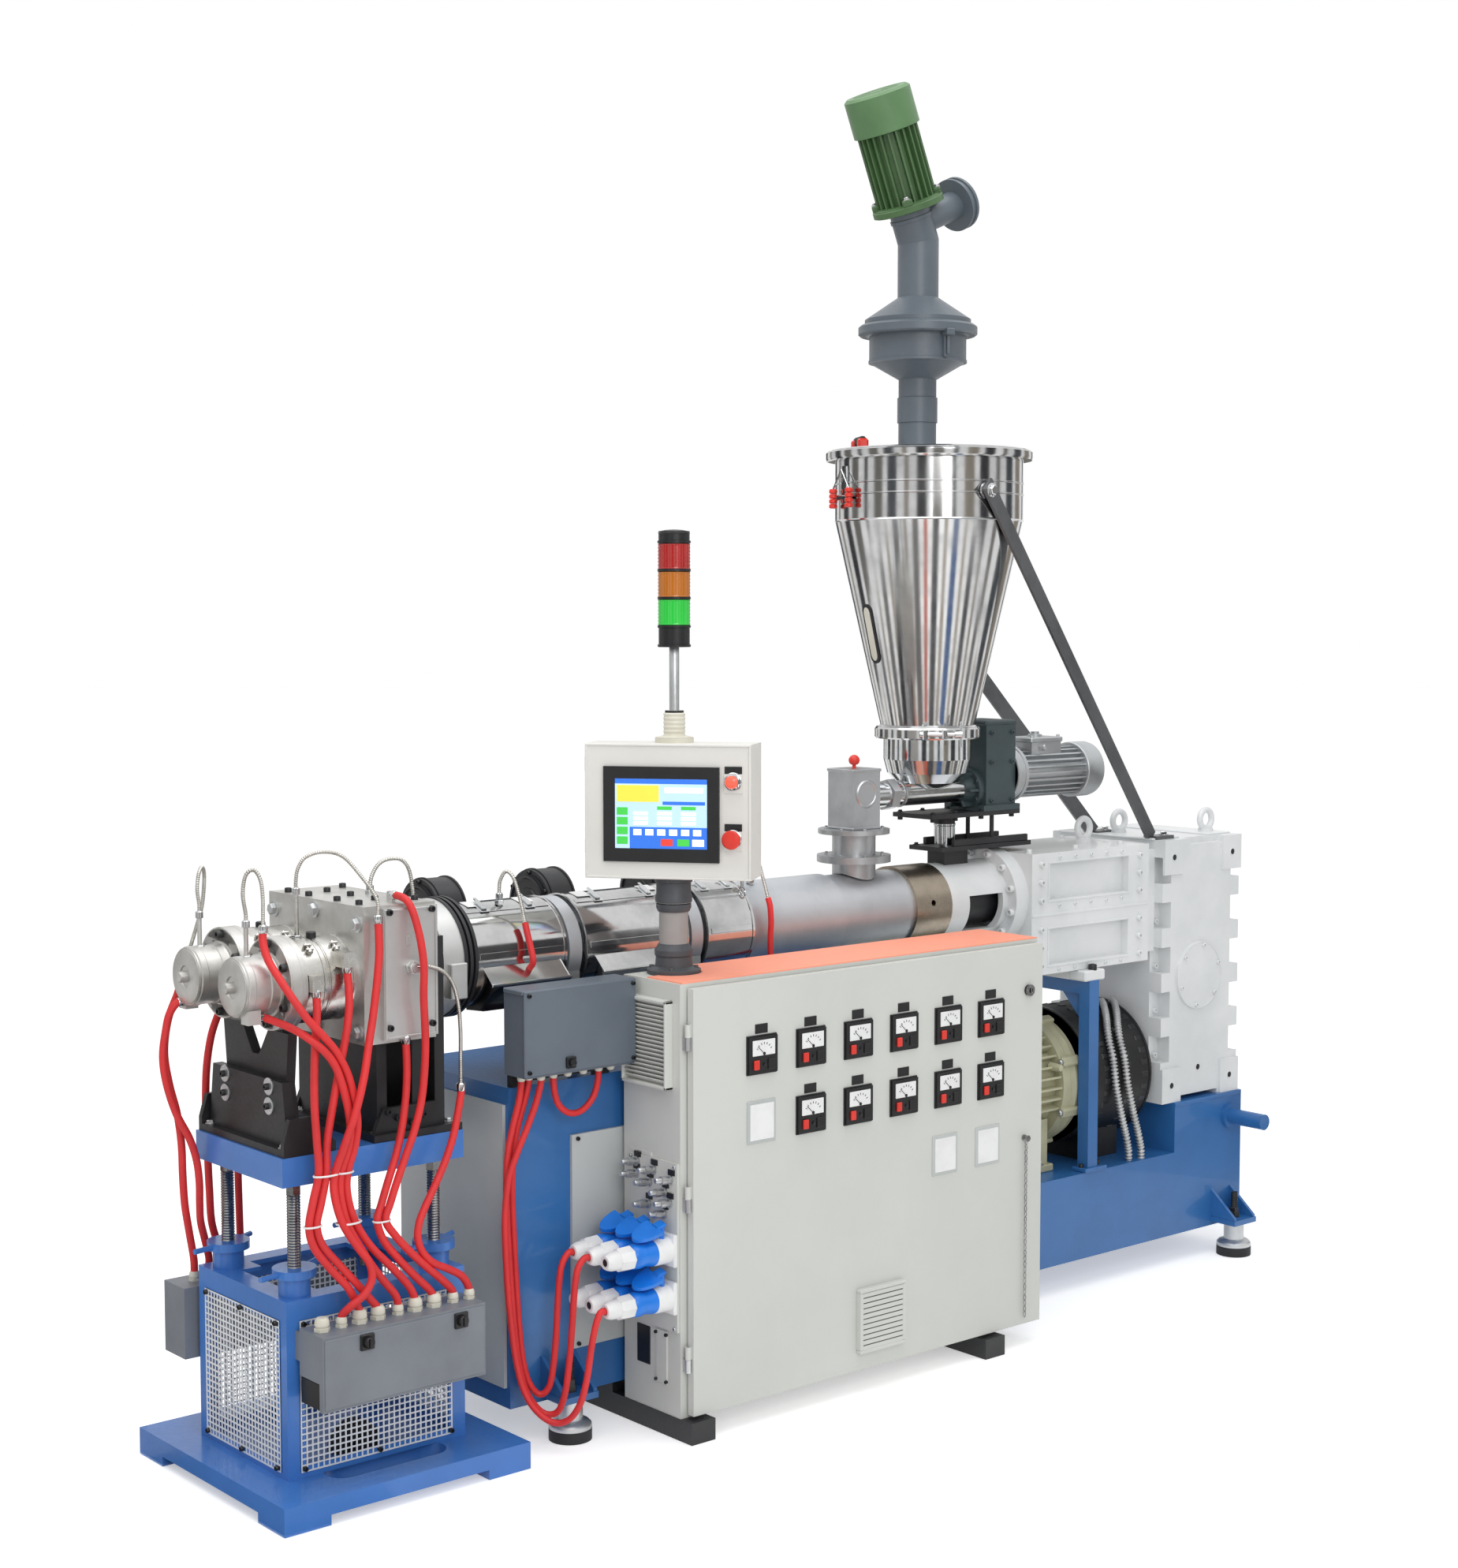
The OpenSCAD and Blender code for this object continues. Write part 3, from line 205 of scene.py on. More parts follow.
def finish(name, fresh, worn, rough, patch, grain, lift, metal=0.0, pull=(1, 1, 1),
           sway=0.12, coat=0.0, glow=0.0):
    """A procedural finish: clouds of wear in the colour, fine grain in roughness and bump."""
    material = bpy.data.materials.new(name)
    material.use_nodes = True
    tree = material.node_tree
    join = tree.links.new
    shader = tree.nodes["Principled BSDF"]
    place = add_node(tree, "TexCoord")
    stretch = add_node(tree, "Mapping", Scale=pull)
    join(place.outputs["Object"], stretch.inputs["Vector"])
    cloud = add_node(tree, "TexNoise", Scale=patch, Detail=7, Roughness=0.62)
    join(place.outputs["Object"], cloud.inputs["Vector"])
    colours = add_node(tree, "ValToRGB")
    for stop, position, colour in zip(colours.color_ramp.elements, (0.42, 0.78), (fresh, worn)):
        stop.position = position
        stop.color = linear(colour)
    join(cloud.outputs["Fac"], colours.inputs["Fac"])
    join(colours.outputs["Color"], shader.inputs["Base Color"])
    fine = add_node(tree, "TexNoise", Scale=grain, Detail=4)
    join(stretch.outputs["Vector"], fine.inputs["Vector"])
    gloss = add_node(tree, "MapRange", To_Min=max(0.02, rough - sway), To_Max=min(1.0, rough + sway))
    join(fine.outputs["Fac"], gloss.inputs["Value"])
    join(gloss.outputs["Result"], shader.inputs["Roughness"])
    dent = add_node(tree, "Bump", Strength=lift, Distance=BUMP_DEEP)
    join(fine.outputs["Fac"], dent.inputs["Height"])
    join(dent.outputs["Normal"], shader.inputs["Normal"])
    shader.inputs["Metallic"].default_value = metal
    shader.inputs["Coat Weight"].default_value = coat
    if glow:
        shader.inputs["Emission Color"].default_value = linear(fresh)
        shader.inputs["Emission Strength"].default_value = glow
    FINISHES[name] = material
    return material


# %% [markdown]
# Paints get a thin clear coat and broad patches of wear, plastics are plain and even, and bare
# metals are metallic with a stretched grain. One row for each finish makes them easy to compare.

# %% Paints, metals and plastics
# name, fresh, worn, roughness, size of the wear, grain, lift of the bump
finish("blue_enamel", "#3f78c6", "#356aaf", 0.34, 3.2, 90, 0.10, coat=0.25)
finish("bed_enamel", "#316cab", "#285b93", 0.36, 2.6, 90, 0.10, coat=0.2)
finish("white_enamel", "#e3e5e6", "#cfd3d4", 0.36, 3.0, 60, 0.28, coat=0.2)
finish("cabinet_coat", "#d0d2cd", "#c6c9c4", 0.5, 1.6, 420, 0.12)
finish("case_coat", "#e2e1dc", "#d6d5cf", 0.46, 2.5, 420, 0.12)
finish("panel_coat", "#bfc3c2", "#aeb4b3", 0.5, 2.0, 420, 0.12)
finish("box_grey", "#7b8088", "#6c7178", 0.42, 4.0, 300, 0.12)
finish("slate_coat", "#656e79", "#58616b", 0.4, 4.0, 300, 0.12)
finish("satin_black", "#1c1d20", "#2b2c2e", 0.42, 6.0, 140, 0.2)
finish("black_plastic", "#141518", "#1f2023", 0.35, 9.0, 500, 0.1)
finish("guard_black", "#0c0d0e", "#141516", 0.5, 6.0, 140, 0.2)
finish("black_rubber", "#17181a", "#26272a", 0.62, 12.0, 300, 0.2)
finish("mat_rubber", "#ffa58a", "#f99a80", 0.7, 2.0, 700, 0.12)
finish("mirror_sheet", "#cbcbcb", "#a6a7a8", 0.13, 7.0, 14, 0.25, metal=1.0, sway=0.06)
finish("throat_steel", "#c0c2c4", "#9fa1a3", 0.36, 8.0, 50, 0.05, metal=1.0, sway=0.05)
finish("satin_barrel", "#c9ccd0", "#b2b6ba", 0.48, 5.0, 60, 0.12, metal=0.85, pull=(6, 1, 1))
finish("ground_steel", "#cfcecb", "#b0aea8", 0.40, 9.0, 70, 0.18, metal=0.8, pull=(6, 1, 1))
finish("plate_steel", "#cdcecd", "#b6b7b5", 0.42, 3.0, 140, 0.1, metal=0.7, pull=(1, 1, 8))
finish("band_steel", "#d3d2ce", "#b0aca4", 0.28, 14.0, 60, 0.05, metal=1.0)
finish("ring_steel", "#a59a8b", "#7f766a", 0.3, 8.0, 160, 0.15, metal=1.0, pull=(8, 1, 1))
finish("screw_steel", "#9b9b9a", "#77777a", 0.28, 20.0, 120, 0.2, metal=1.0)
finish("stay_steel", "#77797b", "#5d5f61", 0.42, 6.0, 120, 0.2, metal=0.9, pull=(1, 6, 1))
finish("zinc_plate", "#c9cbcc", "#b4b7b8", 0.38, 10.0, 90, 0.15, metal=0.9)
finish("chrome", "#d0d2d3", "#b4b6b8", 0.12, 12.0, 60, 0.05, metal=1.0, sway=0.05)
finish("motor_alu", "#c3c6c8", "#a8abad", 0.42, 9.0, 220, 0.3, metal=0.85)
finish("motor_khaki", "#b9b79a", "#a3a184", 0.48, 7.0, 130, 0.3)
finish("motor_green", "#48693f", "#3b5834", 0.46, 7.0, 130, 0.3)
finish("loader_coat", "#5d666e", "#4f575f", 0.38, 4.0, 160, 0.15)
finish("feeder_coat", "#3c4a4d", "#323e41", 0.4, 6.0, 130, 0.2)
finish("post_coat", "#4b4e53", "#3f4246", 0.5, 9.0, 300, 0.15)
finish("pole_coat", "#a5a19f", "#928e8c", 0.5, 6.0, 300, 0.12)
finish("ivory_plastic", "#dcd9cb", "#cdc9b8", 0.45, 12.0, 400, 0.1)
finish("white_plastic", "#eceded", "#dddedd", 0.4, 14.0, 400, 0.08)
finish("plug_blue", "#1b7de4", "#166dcc", 0.32, 16.0, 300, 0.08)
finish("mesh_coat", "#e6e8ea", "#d3d6d8", 0.45, 8.0, 300, 0.12)
finish("red_sleeve", "#dc2f31", "#c4262a", 0.55, 9.0, 420, 0.25)
finish("red_plastic", "#e2382b", "#c92c21", 0.35, 14.0, 300, 0.08)
finish("lead_armour", "#c8c6c0", "#a19e96", 0.32, 30.0, 300, 0.2, metal=0.95)
finish("conduit_grey", "#c6c7c7", "#a2a4a5", 0.45, 20.0, 200, 0.2, metal=0.3)
print(len(FINISHES), "finishes mixed")

# %% [markdown]
# ## Dressing the solid model
# The solids keep their shapes, which already are the machine's, and only change their skin.
# Each row names a finish and the solids that wear it.

# %% Dress the solids
WEARS = {
    "blue_enamel": ["die_stand_base", "die_stand_frame", "stand_nuts", "die_table"],
    "bed_enamel": ["bed", "portal"],
    "white_enamel": ["transfer_case", "gearbox", "lantern", "gearbox_eyebolts"],
    "cabinet_coat": ["cabinet_shell", "cabinet_door", "socket_plate"],
    "case_coat": ["hmi_case"],
    "panel_coat": ["bed_panels"],
    "box_grey": ["stand_boxes"],
    "slate_coat": ["terminal_box"],
    "satin_black": ["die_bracket_front", "die_bracket_rear", "clamp_rings", "blowers",
                    "cabinet_base", "feeder_plates", "box_bracket", "lantern_sleeve"],
    "guard_black": ["coupling_guard"],
    "black_plastic": ["hmi_front", "door_meters"],
    "black_rubber": ["levelling_feet"],
    "mat_rubber": ["cabinet_mat"],
    "mirror_sheet": ["barrel_covers", "hopper", "terminal_covers"],
    "throat_steel": ["feed_throat"],
    "satin_barrel": ["barrel"],
    "ground_steel": ["die_heads", "die_block"],
    "plate_steel": ["die_side_plate", "adaptor_disc"],
    "band_steel": ["die_bands"],
    "ring_steel": ["throat_ring"],
    "screw_steel": ["stand_screws"],
    "stay_steel": ["hopper_stays"],
    "zinc_plate": ["barrel_saddles", "door_hinges", "mounting_plate"],
    "chrome": ["feeder_trough"],
    "motor_alu": ["feeder_motor"],
    "motor_khaki": ["main_motor"],
    "motor_green": ["loader_motor"],
    "loader_coat": ["loader_body", "loader_elbow"],
    "feeder_coat": ["feeder_gearbox"],
    "post_coat": ["hmi_post"],
    "mesh_coat": ["die_stand_mesh"],
    "plug_blue": ["plugs"],
}


def dress(node, material):
    """Give a solid its finish."""
    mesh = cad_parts[node].data
    mesh.materials.clear()
    mesh.materials.append(material)


for coat_name, wearers in WEARS.items():
    for node in wearers:
        dress(node, FINISHES[coat_name])
dress("tower_light", FINISHES["black_plastic"])
print("dressed", sum(len(w) for w in WEARS.values()) + 1, "of", len(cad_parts), "solids")

# %% [markdown]
# ## Leads
# Red woven sleeves guard the heater leads between the die and the boxes on its stand, and from the
# terminal box to the plugs. Thin steel spiral hose guards the sensor leads. A lead is drawn by
# the points it is seen to pass; the helper lays a smooth line through them, so that it bends the
# way a stiff lead does. The hose is the same line with a thickness that swells and shrinks
# in short steps, which gives it real ridges.

# %% A smooth line, and a lead along it
SLEEVE_STEP = 0.008


def smooth_line(points, step):
    """A line through all points, rounded between them, as evenly spaced spots."""
    way = [Vector(p) for p in points]
    way = [way[0] * 2 - way[1]] + way + [way[-1] * 2 - way[-2]]
    spots = [way[1]]
    for a, b, c, d in zip(way, way[1:], way[2:], way[3:]):
        count = max(3, round((c - b).length / step))
        for k in range(1, count + 1):
            t = k / count
            spots.append(0.5 * (2 * b + (c - a) * t + (2 * a - 5 * b + 4 * c - d) * t ** 2
                                + (3 * b - a - 3 * c + d) * t ** 3))
    return spots


def routes(text):
    """Read leads from a text: a line that ends in a colon opens one, the others hold its points in mm."""
    found = []
    for row in text.strip().split("\n"):
        if row.endswith(":"):
            found.append([])
        else:
            spots = [spot.split() for spot in row.split(",") if spot.strip()]
            found[-1] += [tuple(float(number) / 1000 for number in spot) for spot in spots]
    return found


def lead(name, points, thick, coat, slot, node=None, ridge=0.0, groove=1.0):
    """One lead that starts and ends in the machine."""
    spots = smooth_line(points, ridge or SLEEVE_STEP)
    curve = bpy.data.curves.new(name, "CURVE")
    curve.dimensions = "3D"
    curve.bevel_depth = thick / 2
    curve.bevel_resolution = 1 if ridge else 4
    curve.use_fill_caps = True
    line = curve.splines.new("POLY")
    line.points.add(len(spots) - 1)
    for i, (knot, spot) in enumerate(zip(line.points, spots)):
        knot.co = (*spot, 1)
        knot.radius = groove if i % 4 > 1 else 1.0
    curve.materials.append(FINISHES[coat])
    cord = bpy.data.objects.new(name, curve)
    bpy.context.scene.collection.objects.link(cord)
    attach(cord, "frame")
    if node:
        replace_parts(cord, node)
    reach = sum((b - a).length for a, b in zip(spots, spots[1:]))
    return reach


def lay_leads(stem, group, *looks, **ridges):
    """Lay a group of like leads and print their lengths."""
    lengths = [lead(f"{stem}_{i + 1}", points, *looks, **ridges) for i, points in enumerate(group)]
    print(stem, [round(reach, 2) for reach in lengths], "m")


# %% [markdown]
# Twelve sleeves hang from the outlets and bands of the die. They bundle, cross and part again
# before they reach the glands of the two boxes, so each one has its own list of points.

# %% Heater leads of the die
DIE_LEADS = routes("""
over the near outlet and down to the sixth gland:
    -236 -140 1230, -238 -143 1200, -236 -160 1165, -228 -192 1128, -212 -222 1085, -190 -240 1045,
    -160 -246 1010, -128 -246 972, -102 -246 925, -86 -246 870, -78 -246 815, -84 -244 765,
    -100 -242 715, -104 -244 670, -90 -248 610, -55 -252 550, -5 -256 495, 38 -257 445, 53 -257 412,
    53 -257 390
under the near outlet:
    -250 -138 1042, -238 -138 1042, -222 -166 1034, -208 -204 1024, -190 -232 1008, -160 -246 980,
    -132 -246 945, -114 -246 900, -101 -246 850, -95 -246 800, -101 -244 760, -117 -242 712,
    -121 -246 665, -108 -250 605, -74 -254 540, -34 -257 480, 2 -257 435, 10 -257 412, 10 -257 390
side of the near head:
    -150 -207 1095, -150 -207 1080, -152 -212 1055, -160 -218 1000, -166 -222 930, -170 -228 860,
    -170 -235 790, -168 -238 720, -184 -240 660, -196 -244 610, -186 -248 565, -150 -252 515,
    -112 -256 470, -89 -257 425, -85 -257 412, -85 -257 390
upper side of the near head:
    -76 -208 1140, -76 -208 1126, -76 -214 1095, -80 -220 1050, -92 -224 990, -112 -228 920,
    -130 -232 850, -146 -236 780, -150 -238 715, -166 -242 655, -179 -246 612, -169 -250 570,
    -134 -254 525, -94 -257 478, -54 -257 430, -40 -257 412, -40 -257 390
block edge, crossing in front to the second gland:
    -8 -222 1240, -8 -225 1210, -9 -227 1165, -16 -230 1110, -30 -236 1040, -48 -246 980,
    -70 -260 910, -95 -266 840, -118 -260 775, -135 -246 710, -138 -252 665, -126 -262 610,
    -98 -270 560, -72 -277 520, -68 -280 485, -88 -280 455, -114 -272 435, -129 -257 412,
    -129 -257 390
block top:
    70 -159 1277, 70 -185 1277, 71 -212 1270, 74 -232 1245, 82 -246 1190, 88 -250 1130,
    88 -248 1070, 94 -242 1010, 98 -238 960, 96 -236 900, 88 -236 840, 70 -237 780, 45 -239 725,
    22 -241 675, 2 -244 630, -12 -247 595, 8 -252 560, 40 -256 522, 82 -257 480, 124 -257 442,
    150 -257 412, 150 -257 390
below the side plate:
    68 -208 972, 68 -208 955, 66 -213 925, 64 -216 890, 58 -219 840, 46 -222 780, 28 -226 725,
    5 -231 675, -15 -236 630, -29 -241 595, -16 -244 552, 16 -250 508, 56 -256 462, 86 -257 432,
    101 -257 410, 101 -257 390
from the armoured lead:
    196 -226 856, 196 -226 838, 186 -228 795, 170 -232 745, 146 -236 695, 118 -240 650, 90 -244 608,
    72 -248 578, 66 -250 545, 76 -252 512, 102 -254 484, 140 -256 464, 174 -257 442, 192 -257 412,
    192 -257 390
far outlet, down behind the table:
    -280 137 1045, -292 137 1045, -308 142 1022, -315 146 990, -322 150 930, -314 152 870,
    -292 152 800, -262 150 740, -246 150 690, -240 150 640, -232 165 590, -215 195 540,
    -190 225 490, -170 245 440, -165 257 412, -165 257 390
far head, first band:
    -136 206 1060, -136 206 1045, -150 212 1005, -170 216 950, -182 218 880, -186 218 800,
    -184 218 740, -182 220 680, -176 226 600, -165 238 520, -140 250 450, -130 257 412, -130 257 390
far head, second band:
    -76 206 1060, -76 206 1045, -84 214 995, -96 218 930, -104 220 860, -108 220 780, -108 220 700,
    -104 226 620, -96 238 540, -88 250 460, -85 257 412, -85 257 390
from the far sensor:
    -262 180 1080, -268 183 1055, -290 186 1000, -300 186 930, -290 186 860, -272 186 790,
    -262 188 720, -258 192 650, -247 206 580, -226 228 510, -206 248 445, -200 257 412, -200 257 390
""")
lay_leads("die_lead", DIE_LEADS, 0.017, "red_sleeve", "lead_red", "die_leads")

# %% [markdown]
# Three sleeves hang from the terminal box almost to the floor and rise again to the plugs of the
# cabinet. The others are short: a loop under the box and the tails of two sensors.

# %% Leads of the terminal box and the plugs
PLUG_LEADS = routes("""
middle plug of the upper row:
    372 -205 854, 372 -205 836, 365 -205 795, 352 -200 740, 340 -197 680, 336 -195 600,
    338 -195 520, 342 -196 440, 346 -198 360, 350 -202 280, 357 -208 200, 372 -218 130, 398 -240 85,
    422 -264 85, 430 -284 130, 433 -298 210, 436 -306 300, 440 -309 370, 448 -310 418, 466 -310 440,
    480 -310 440
rear plug of the upper row:
    394 -203 854, 394 -203 836, 385 -200 795, 370 -195 740, 360 -191 680, 356 -189 600,
    358 -189 520, 362 -189 440, 366 -190 360, 370 -193 280, 376 -198 200, 388 -206 145,
    408 -218 118, 424 -232 135, 430 -242 190, 434 -248 270, 438 -250 350, 447 -250 412,
    466 -250 440, 480 -250 440
front plug of the lower row:
    414 -222 854, 414 -222 836, 402 -222 795, 380 -219 740, 352 -215 680, 330 -212 620,
    321 -211 540, 322 -211 460, 326 -212 380, 332 -215 300, 340 -221 220, 352 -231 150,
    372 -250 100, 398 -280 72, 420 -310 80, 432 -338 120, 438 -356 180, 443 -366 250, 452 -370 300,
    466 -370 330, 480 -370 330
loop below the terminal box:
    450 -219 854, 450 -219 836, 454 -218 806, 466 -217 775, 495 -216 752, 530 -216 752,
    560 -217 775, 574 -218 806, 578 -219 836, 578 -219 854
first barrel zone to its terminal cover:
    448 -116 1180, 448 -124 1158, 450 -137 1120, 450 -144 1093, 450 -130 1078
feed end of the barrel down to the bed:
    1184 -116 1180, 1184 -124 1160, 1184 -128 1120, 1184 -126 1095, 1184 -126 1050, 1186 -132 1000,
    1190 -146 940, 1194 -158 880, 1195 -160 838, 1195 -160 820
""")
lay_leads("plug_lead", PLUG_LEADS, 0.015, "red_sleeve", "lead_red", "plug_leads")

# %% [markdown]
# The sensor hoses stand up out of their fittings and bend over. Each ridge takes a few points
# of the line, which is cheaper than a modelled spiral and looks the same from a step away.

# %% Hoses of the sensors
SENSOR_LEADS = routes("""
near outlet:
    -255 -102 1240, -255 -102 1258, -262 -104 1300, -257 -108 1338, -244 -118 1350, -234 -128 1330,
    -232 -134 1290, -236 -140 1230
far outlet:
    -255 102 1240, -255 102 1258, -258 104 1292, -250 110 1325, -236 120 1335, -226 132 1310,
    -226 144 1250, -236 160 1190, -250 174 1130, -262 180 1080
near head to the block edge:
    -135 -102 1300, -135 -102 1318, -131 -105 1345, -116 -112 1368, -84 -128 1378, -50 -152 1368,
    -24 -186 1325, -8 -218 1280, -8 -222 1240
die block to the adaptor:
    110 0 1262, 110 0 1280, 116 0 1304, 132 0 1326, 155 0 1336, 190 0 1334, 212 0 1310, 222 0 1262,
    222 0 1240
side plate:
    91 -226 1126, 106 -226 1126, 120 -226 1124, 150 -226 1112, 175 -226 1085, 190 -226 1040,
    196 -226 980, 196 -226 920, 196 -226 872, 196 -226 856
first barrel zone:
    430 -40 1240, 430 -40 1256, 431 -44 1275, 438 -56 1294, 446 -74 1280, 448 -96 1235,
    448 -116 1180
feed end of the barrel:
    1200 -30 1235, 1200 -30 1252, 1200 -34 1275, 1195 -48 1298, 1187 -68 1285, 1184 -92 1240,
    1184 -116 1180
""")
lay_leads("sensor_lead", SENSOR_LEADS, 0.0095, "lead_armour", "lead_steel", "sensor_leads",
          ridge=0.0011, groove=0.78)

# %% [markdown]
# Two wider hoses start on top of the coupling guard, lie over its front and end at the bed. Their
# ridges are coarser and deeper, so that they show from afar.

# %% Hoses over the coupling guard
DRIVE_HOSES = routes("""
toward the motor:
    2570 0 747, 2566 -8 762, 2552 -28 757, 2515 -70 733, 2484 -102 702, 2466 -126 668,
    2460 -146 622, 2463 -156 545, 2483 -158 465, 2506 -157 400, 2520 -155 355, 2524 -153 324
toward the gearbox:
    2618 0 747, 2614 -8 762, 2600 -28 757, 2562 -70 733, 2530 -102 702, 2512 -126 668,
    2508 -146 622, 2513 -156 545, 2535 -158 465, 2559 -157 400, 2574 -155 355, 2578 -153 324
""")
lay_leads("drive_hose", DRIVE_HOSES, 0.022, "conduit_grey", "lead_steel", ridge=0.0026, groove=0.55)

# %% [markdown]
# ## Tools for the small hardware
# Screws, glands, knobs and plates come from a few helpers that work in millimetres, like the
# drawing. `lathe` turns a profile about an axis, `block` is a box with eased edges, `slab` is a
# flat outline with a thickness. They fill a mesh directly, which is quicker than modifiers when
# a machine has hundreds of heads.

# %% Turned, eased and flat shapes
MM = 0.001
UP, DOWN = (0, 0, 1), (0, 0, -1)
FRONT, BACK = (0, -1, 0), (0, 1, 0)
TO_DIE, TO_DRIVE = (-1, 0, 0), (1, 0, 0)
SHARP_FROM = math.radians(35)


def lathe(bm, foot, along, rows, sides):
    """Turn a profile of (height, radius) rows about an axis."""
    axis = Vector(along).normalized()
    side = axis.orthogonal().normalized()
    other = axis.cross(side)
    turns = [math.tau * k / sides for k in range(sides)]
    rings = []
    for height, radius in rows:
        centre = Vector(foot) + axis * height
        rings.append([bm.verts.new(centre + (side * math.cos(a) + other * math.sin(a)) * radius)
                      for a in turns])
    for low, high in zip(rings, rings[1:]):
        for k in range(sides):
            bm.faces.new((low[k], low[(k + 1) % sides], high[(k + 1) % sides], high[k]))
    bm.faces.new(rings[0][::-1])
    bm.faces.new(rings[-1])


def block(bm, low, high, ease, turn=None):
    """A box between two corners with eased edges, turned by a matrix if one is given."""
    low, high = Vector(low), Vector(high)
    place = Matrix.Translation((low + high) / 2) @ Matrix.Diagonal((*(high - low), 1))
    corners = bmesh.ops.create_cube(bm, size=1, matrix=place)["verts"]
    edges = list(dict.fromkeys(edge for corner in corners for edge in corner.link_edges))
    made = bmesh.ops.bevel(bm, geom=edges, offset=ease, segments=1, affect="EDGES", profile=0.5)
    if turn is not None:
        bmesh.ops.transform(bm, matrix=turn, verts=made["verts"])


def slab(bm, outline, thick):
    """A flat outline of 3-D points given a thickness vector."""
    front = [bm.verts.new(Vector(p)) for p in outline]
    back = [bm.verts.new(Vector(p) + Vector(thick)) for p in outline]
    bm.faces.new(front)
    bm.faces.new(back[::-1])
    for k in range(len(front)):
        n = (k + 1) % len(front)
        bm.faces.new((front[n], front[k], back[k], back[n]))


def bead(low, high, wide):
    """The profile of a raised ring with eased edges."""
    return [(0, low), (1, high), (wide - 1, high), (wide, low)]


# %% [markdown]
# A socket screw is a drum with a recess, a bolt is a hexagon on a washer, a gland is a hexagon
# under a dome. Real profiles cost little here and catch the light better than a bump would.

# %% Screws and glands
def cap_screw(bm, foot, along, size):
    """A socket cap screw head: a chamfered drum with a recess."""
    s = size
    lathe(bm, foot, along, [(-1, 0.8 * s), (0.85 * s, 0.8 * s), (s, 0.7 * s), (s, 0.42 * s),
                            (0.45 * s, 0.4 * s)], 18)


def hex_bolt(bm, foot, along, size):
    """A hexagon bolt head on its washer."""
    s = size
    lathe(bm, foot, along, [(-1, 1.25 * s), (0.2 * s, 1.25 * s), (0.26 * s, 1.15 * s)], 20)
    lathe(bm, foot, along, [(0, 0.9 * s), (0.75 * s, 0.9 * s), (0.9 * s, 0.76 * s)], 6)


def gland(bm, foot, along, size):
    """A cable gland: a hexagon, a collar and a ribbed dome nut."""
    s = size
    lathe(bm, foot, along, [(-1, 1.15 * s), (0.5 * s, 1.15 * s), (0.56 * s, 1.05 * s)], 6)
    lathe(bm, foot, along, [(0.5 * s, 0.9 * s), (0.8 * s, 0.9 * s), (0.82 * s, 1.08 * s), (1.5 * s, 1.04 * s),
                            (1.9 * s, 0.78 * s), (1.95 * s, 0.6 * s)], 12)


# %% [markdown]
# Heads come in rows and circles, so `grid` and `circle` set out many at once, and `ring` bends a
# wire to a link. `piece` ends the work on a mesh: it scales it to metres, shades it smooth but
# for its sharp edges, and fastens it to the body it moves with.

# %% Rows, circles, links and the finished piece
def grid(bm, head, xs, ys, zs, along, size):
    """The same head at every crossing of three rows of places."""
    for spot in itertools.product(xs, ys, zs):
        head(bm, spot, along, size)


def circle(bm, head, centre, along, radius, count, start, size):
    """The same head all round a centre, from a first angle in degrees."""
    first, second = [(BACK, UP), (TO_DRIVE, UP), (TO_DRIVE, BACK)][[abs(c) for c in along].index(1)]
    for k in range(count):
        turn = math.radians(start + 360 / count * k)
        out = Vector(first) * math.cos(turn) + Vector(second) * math.sin(turn)
        head(bm, Vector(centre) + out * radius, along, size)


LINK_STEPS = 14
WIRE_SIDES = 6


def ring(bm, centre, across, up, half_wide, half_tall, wire):
    """A link: a stretched ring of round wire."""
    across, up = Vector(across), Vector(up)
    normal = across.cross(up)
    wire_turns = [math.tau * s / WIRE_SIDES for s in range(WIRE_SIDES)]
    loops = []
    for k in range(LINK_STEPS):
        turn = math.tau * k / LINK_STEPS
        out = across * math.cos(turn) + up * math.sin(turn)
        spot = Vector(centre) + across * half_wide * math.cos(turn) + up * half_tall * math.sin(turn)
        loops.append([bm.verts.new(spot + (out * math.cos(a) + normal * math.sin(a)) * wire)
                      for a in wire_turns])
    for a, b in zip(loops, loops[1:] + loops[:1]):
        for s in range(WIRE_SIDES):
            n = (s + 1) % WIRE_SIDES
            bm.faces.new((a[s], a[n], b[n], b[s]))


def piece(name, bm, coat, body="frame"):
    """Finish a mesh built in millimetres and fasten it to its body."""
    bmesh.ops.scale(bm, vec=(MM, MM, MM), verts=bm.verts)
    bmesh.ops.recalc_face_normals(bm, faces=bm.faces)
    mesh = bpy.data.meshes.new(name)
    bm.to_mesh(mesh)
    bm.free()
    mesh.polygons.foreach_set("use_smooth", [True] * len(mesh.polygons))
    mesh.set_sharp_from_angle(angle=SHARP_FROM)
    mesh.materials.append(FINISHES[coat])
    obj = bpy.data.objects.new(name, mesh)
    bpy.context.scene.collection.objects.link(obj)
    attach(obj, body)
    print(name, len(mesh.polygons), "faces")
    return obj


# %% [markdown]
# ## Die stand
# White square mesh closes the stand on four sides. It is cut from sheet, so it is built as one
# sheet with square holes: a lattice of strips and gaps, with the walls of the holes joining
# the front to the back.

# %% Mesh panels
MESH_PITCH = 13.5
MESH_WEB = 3.2


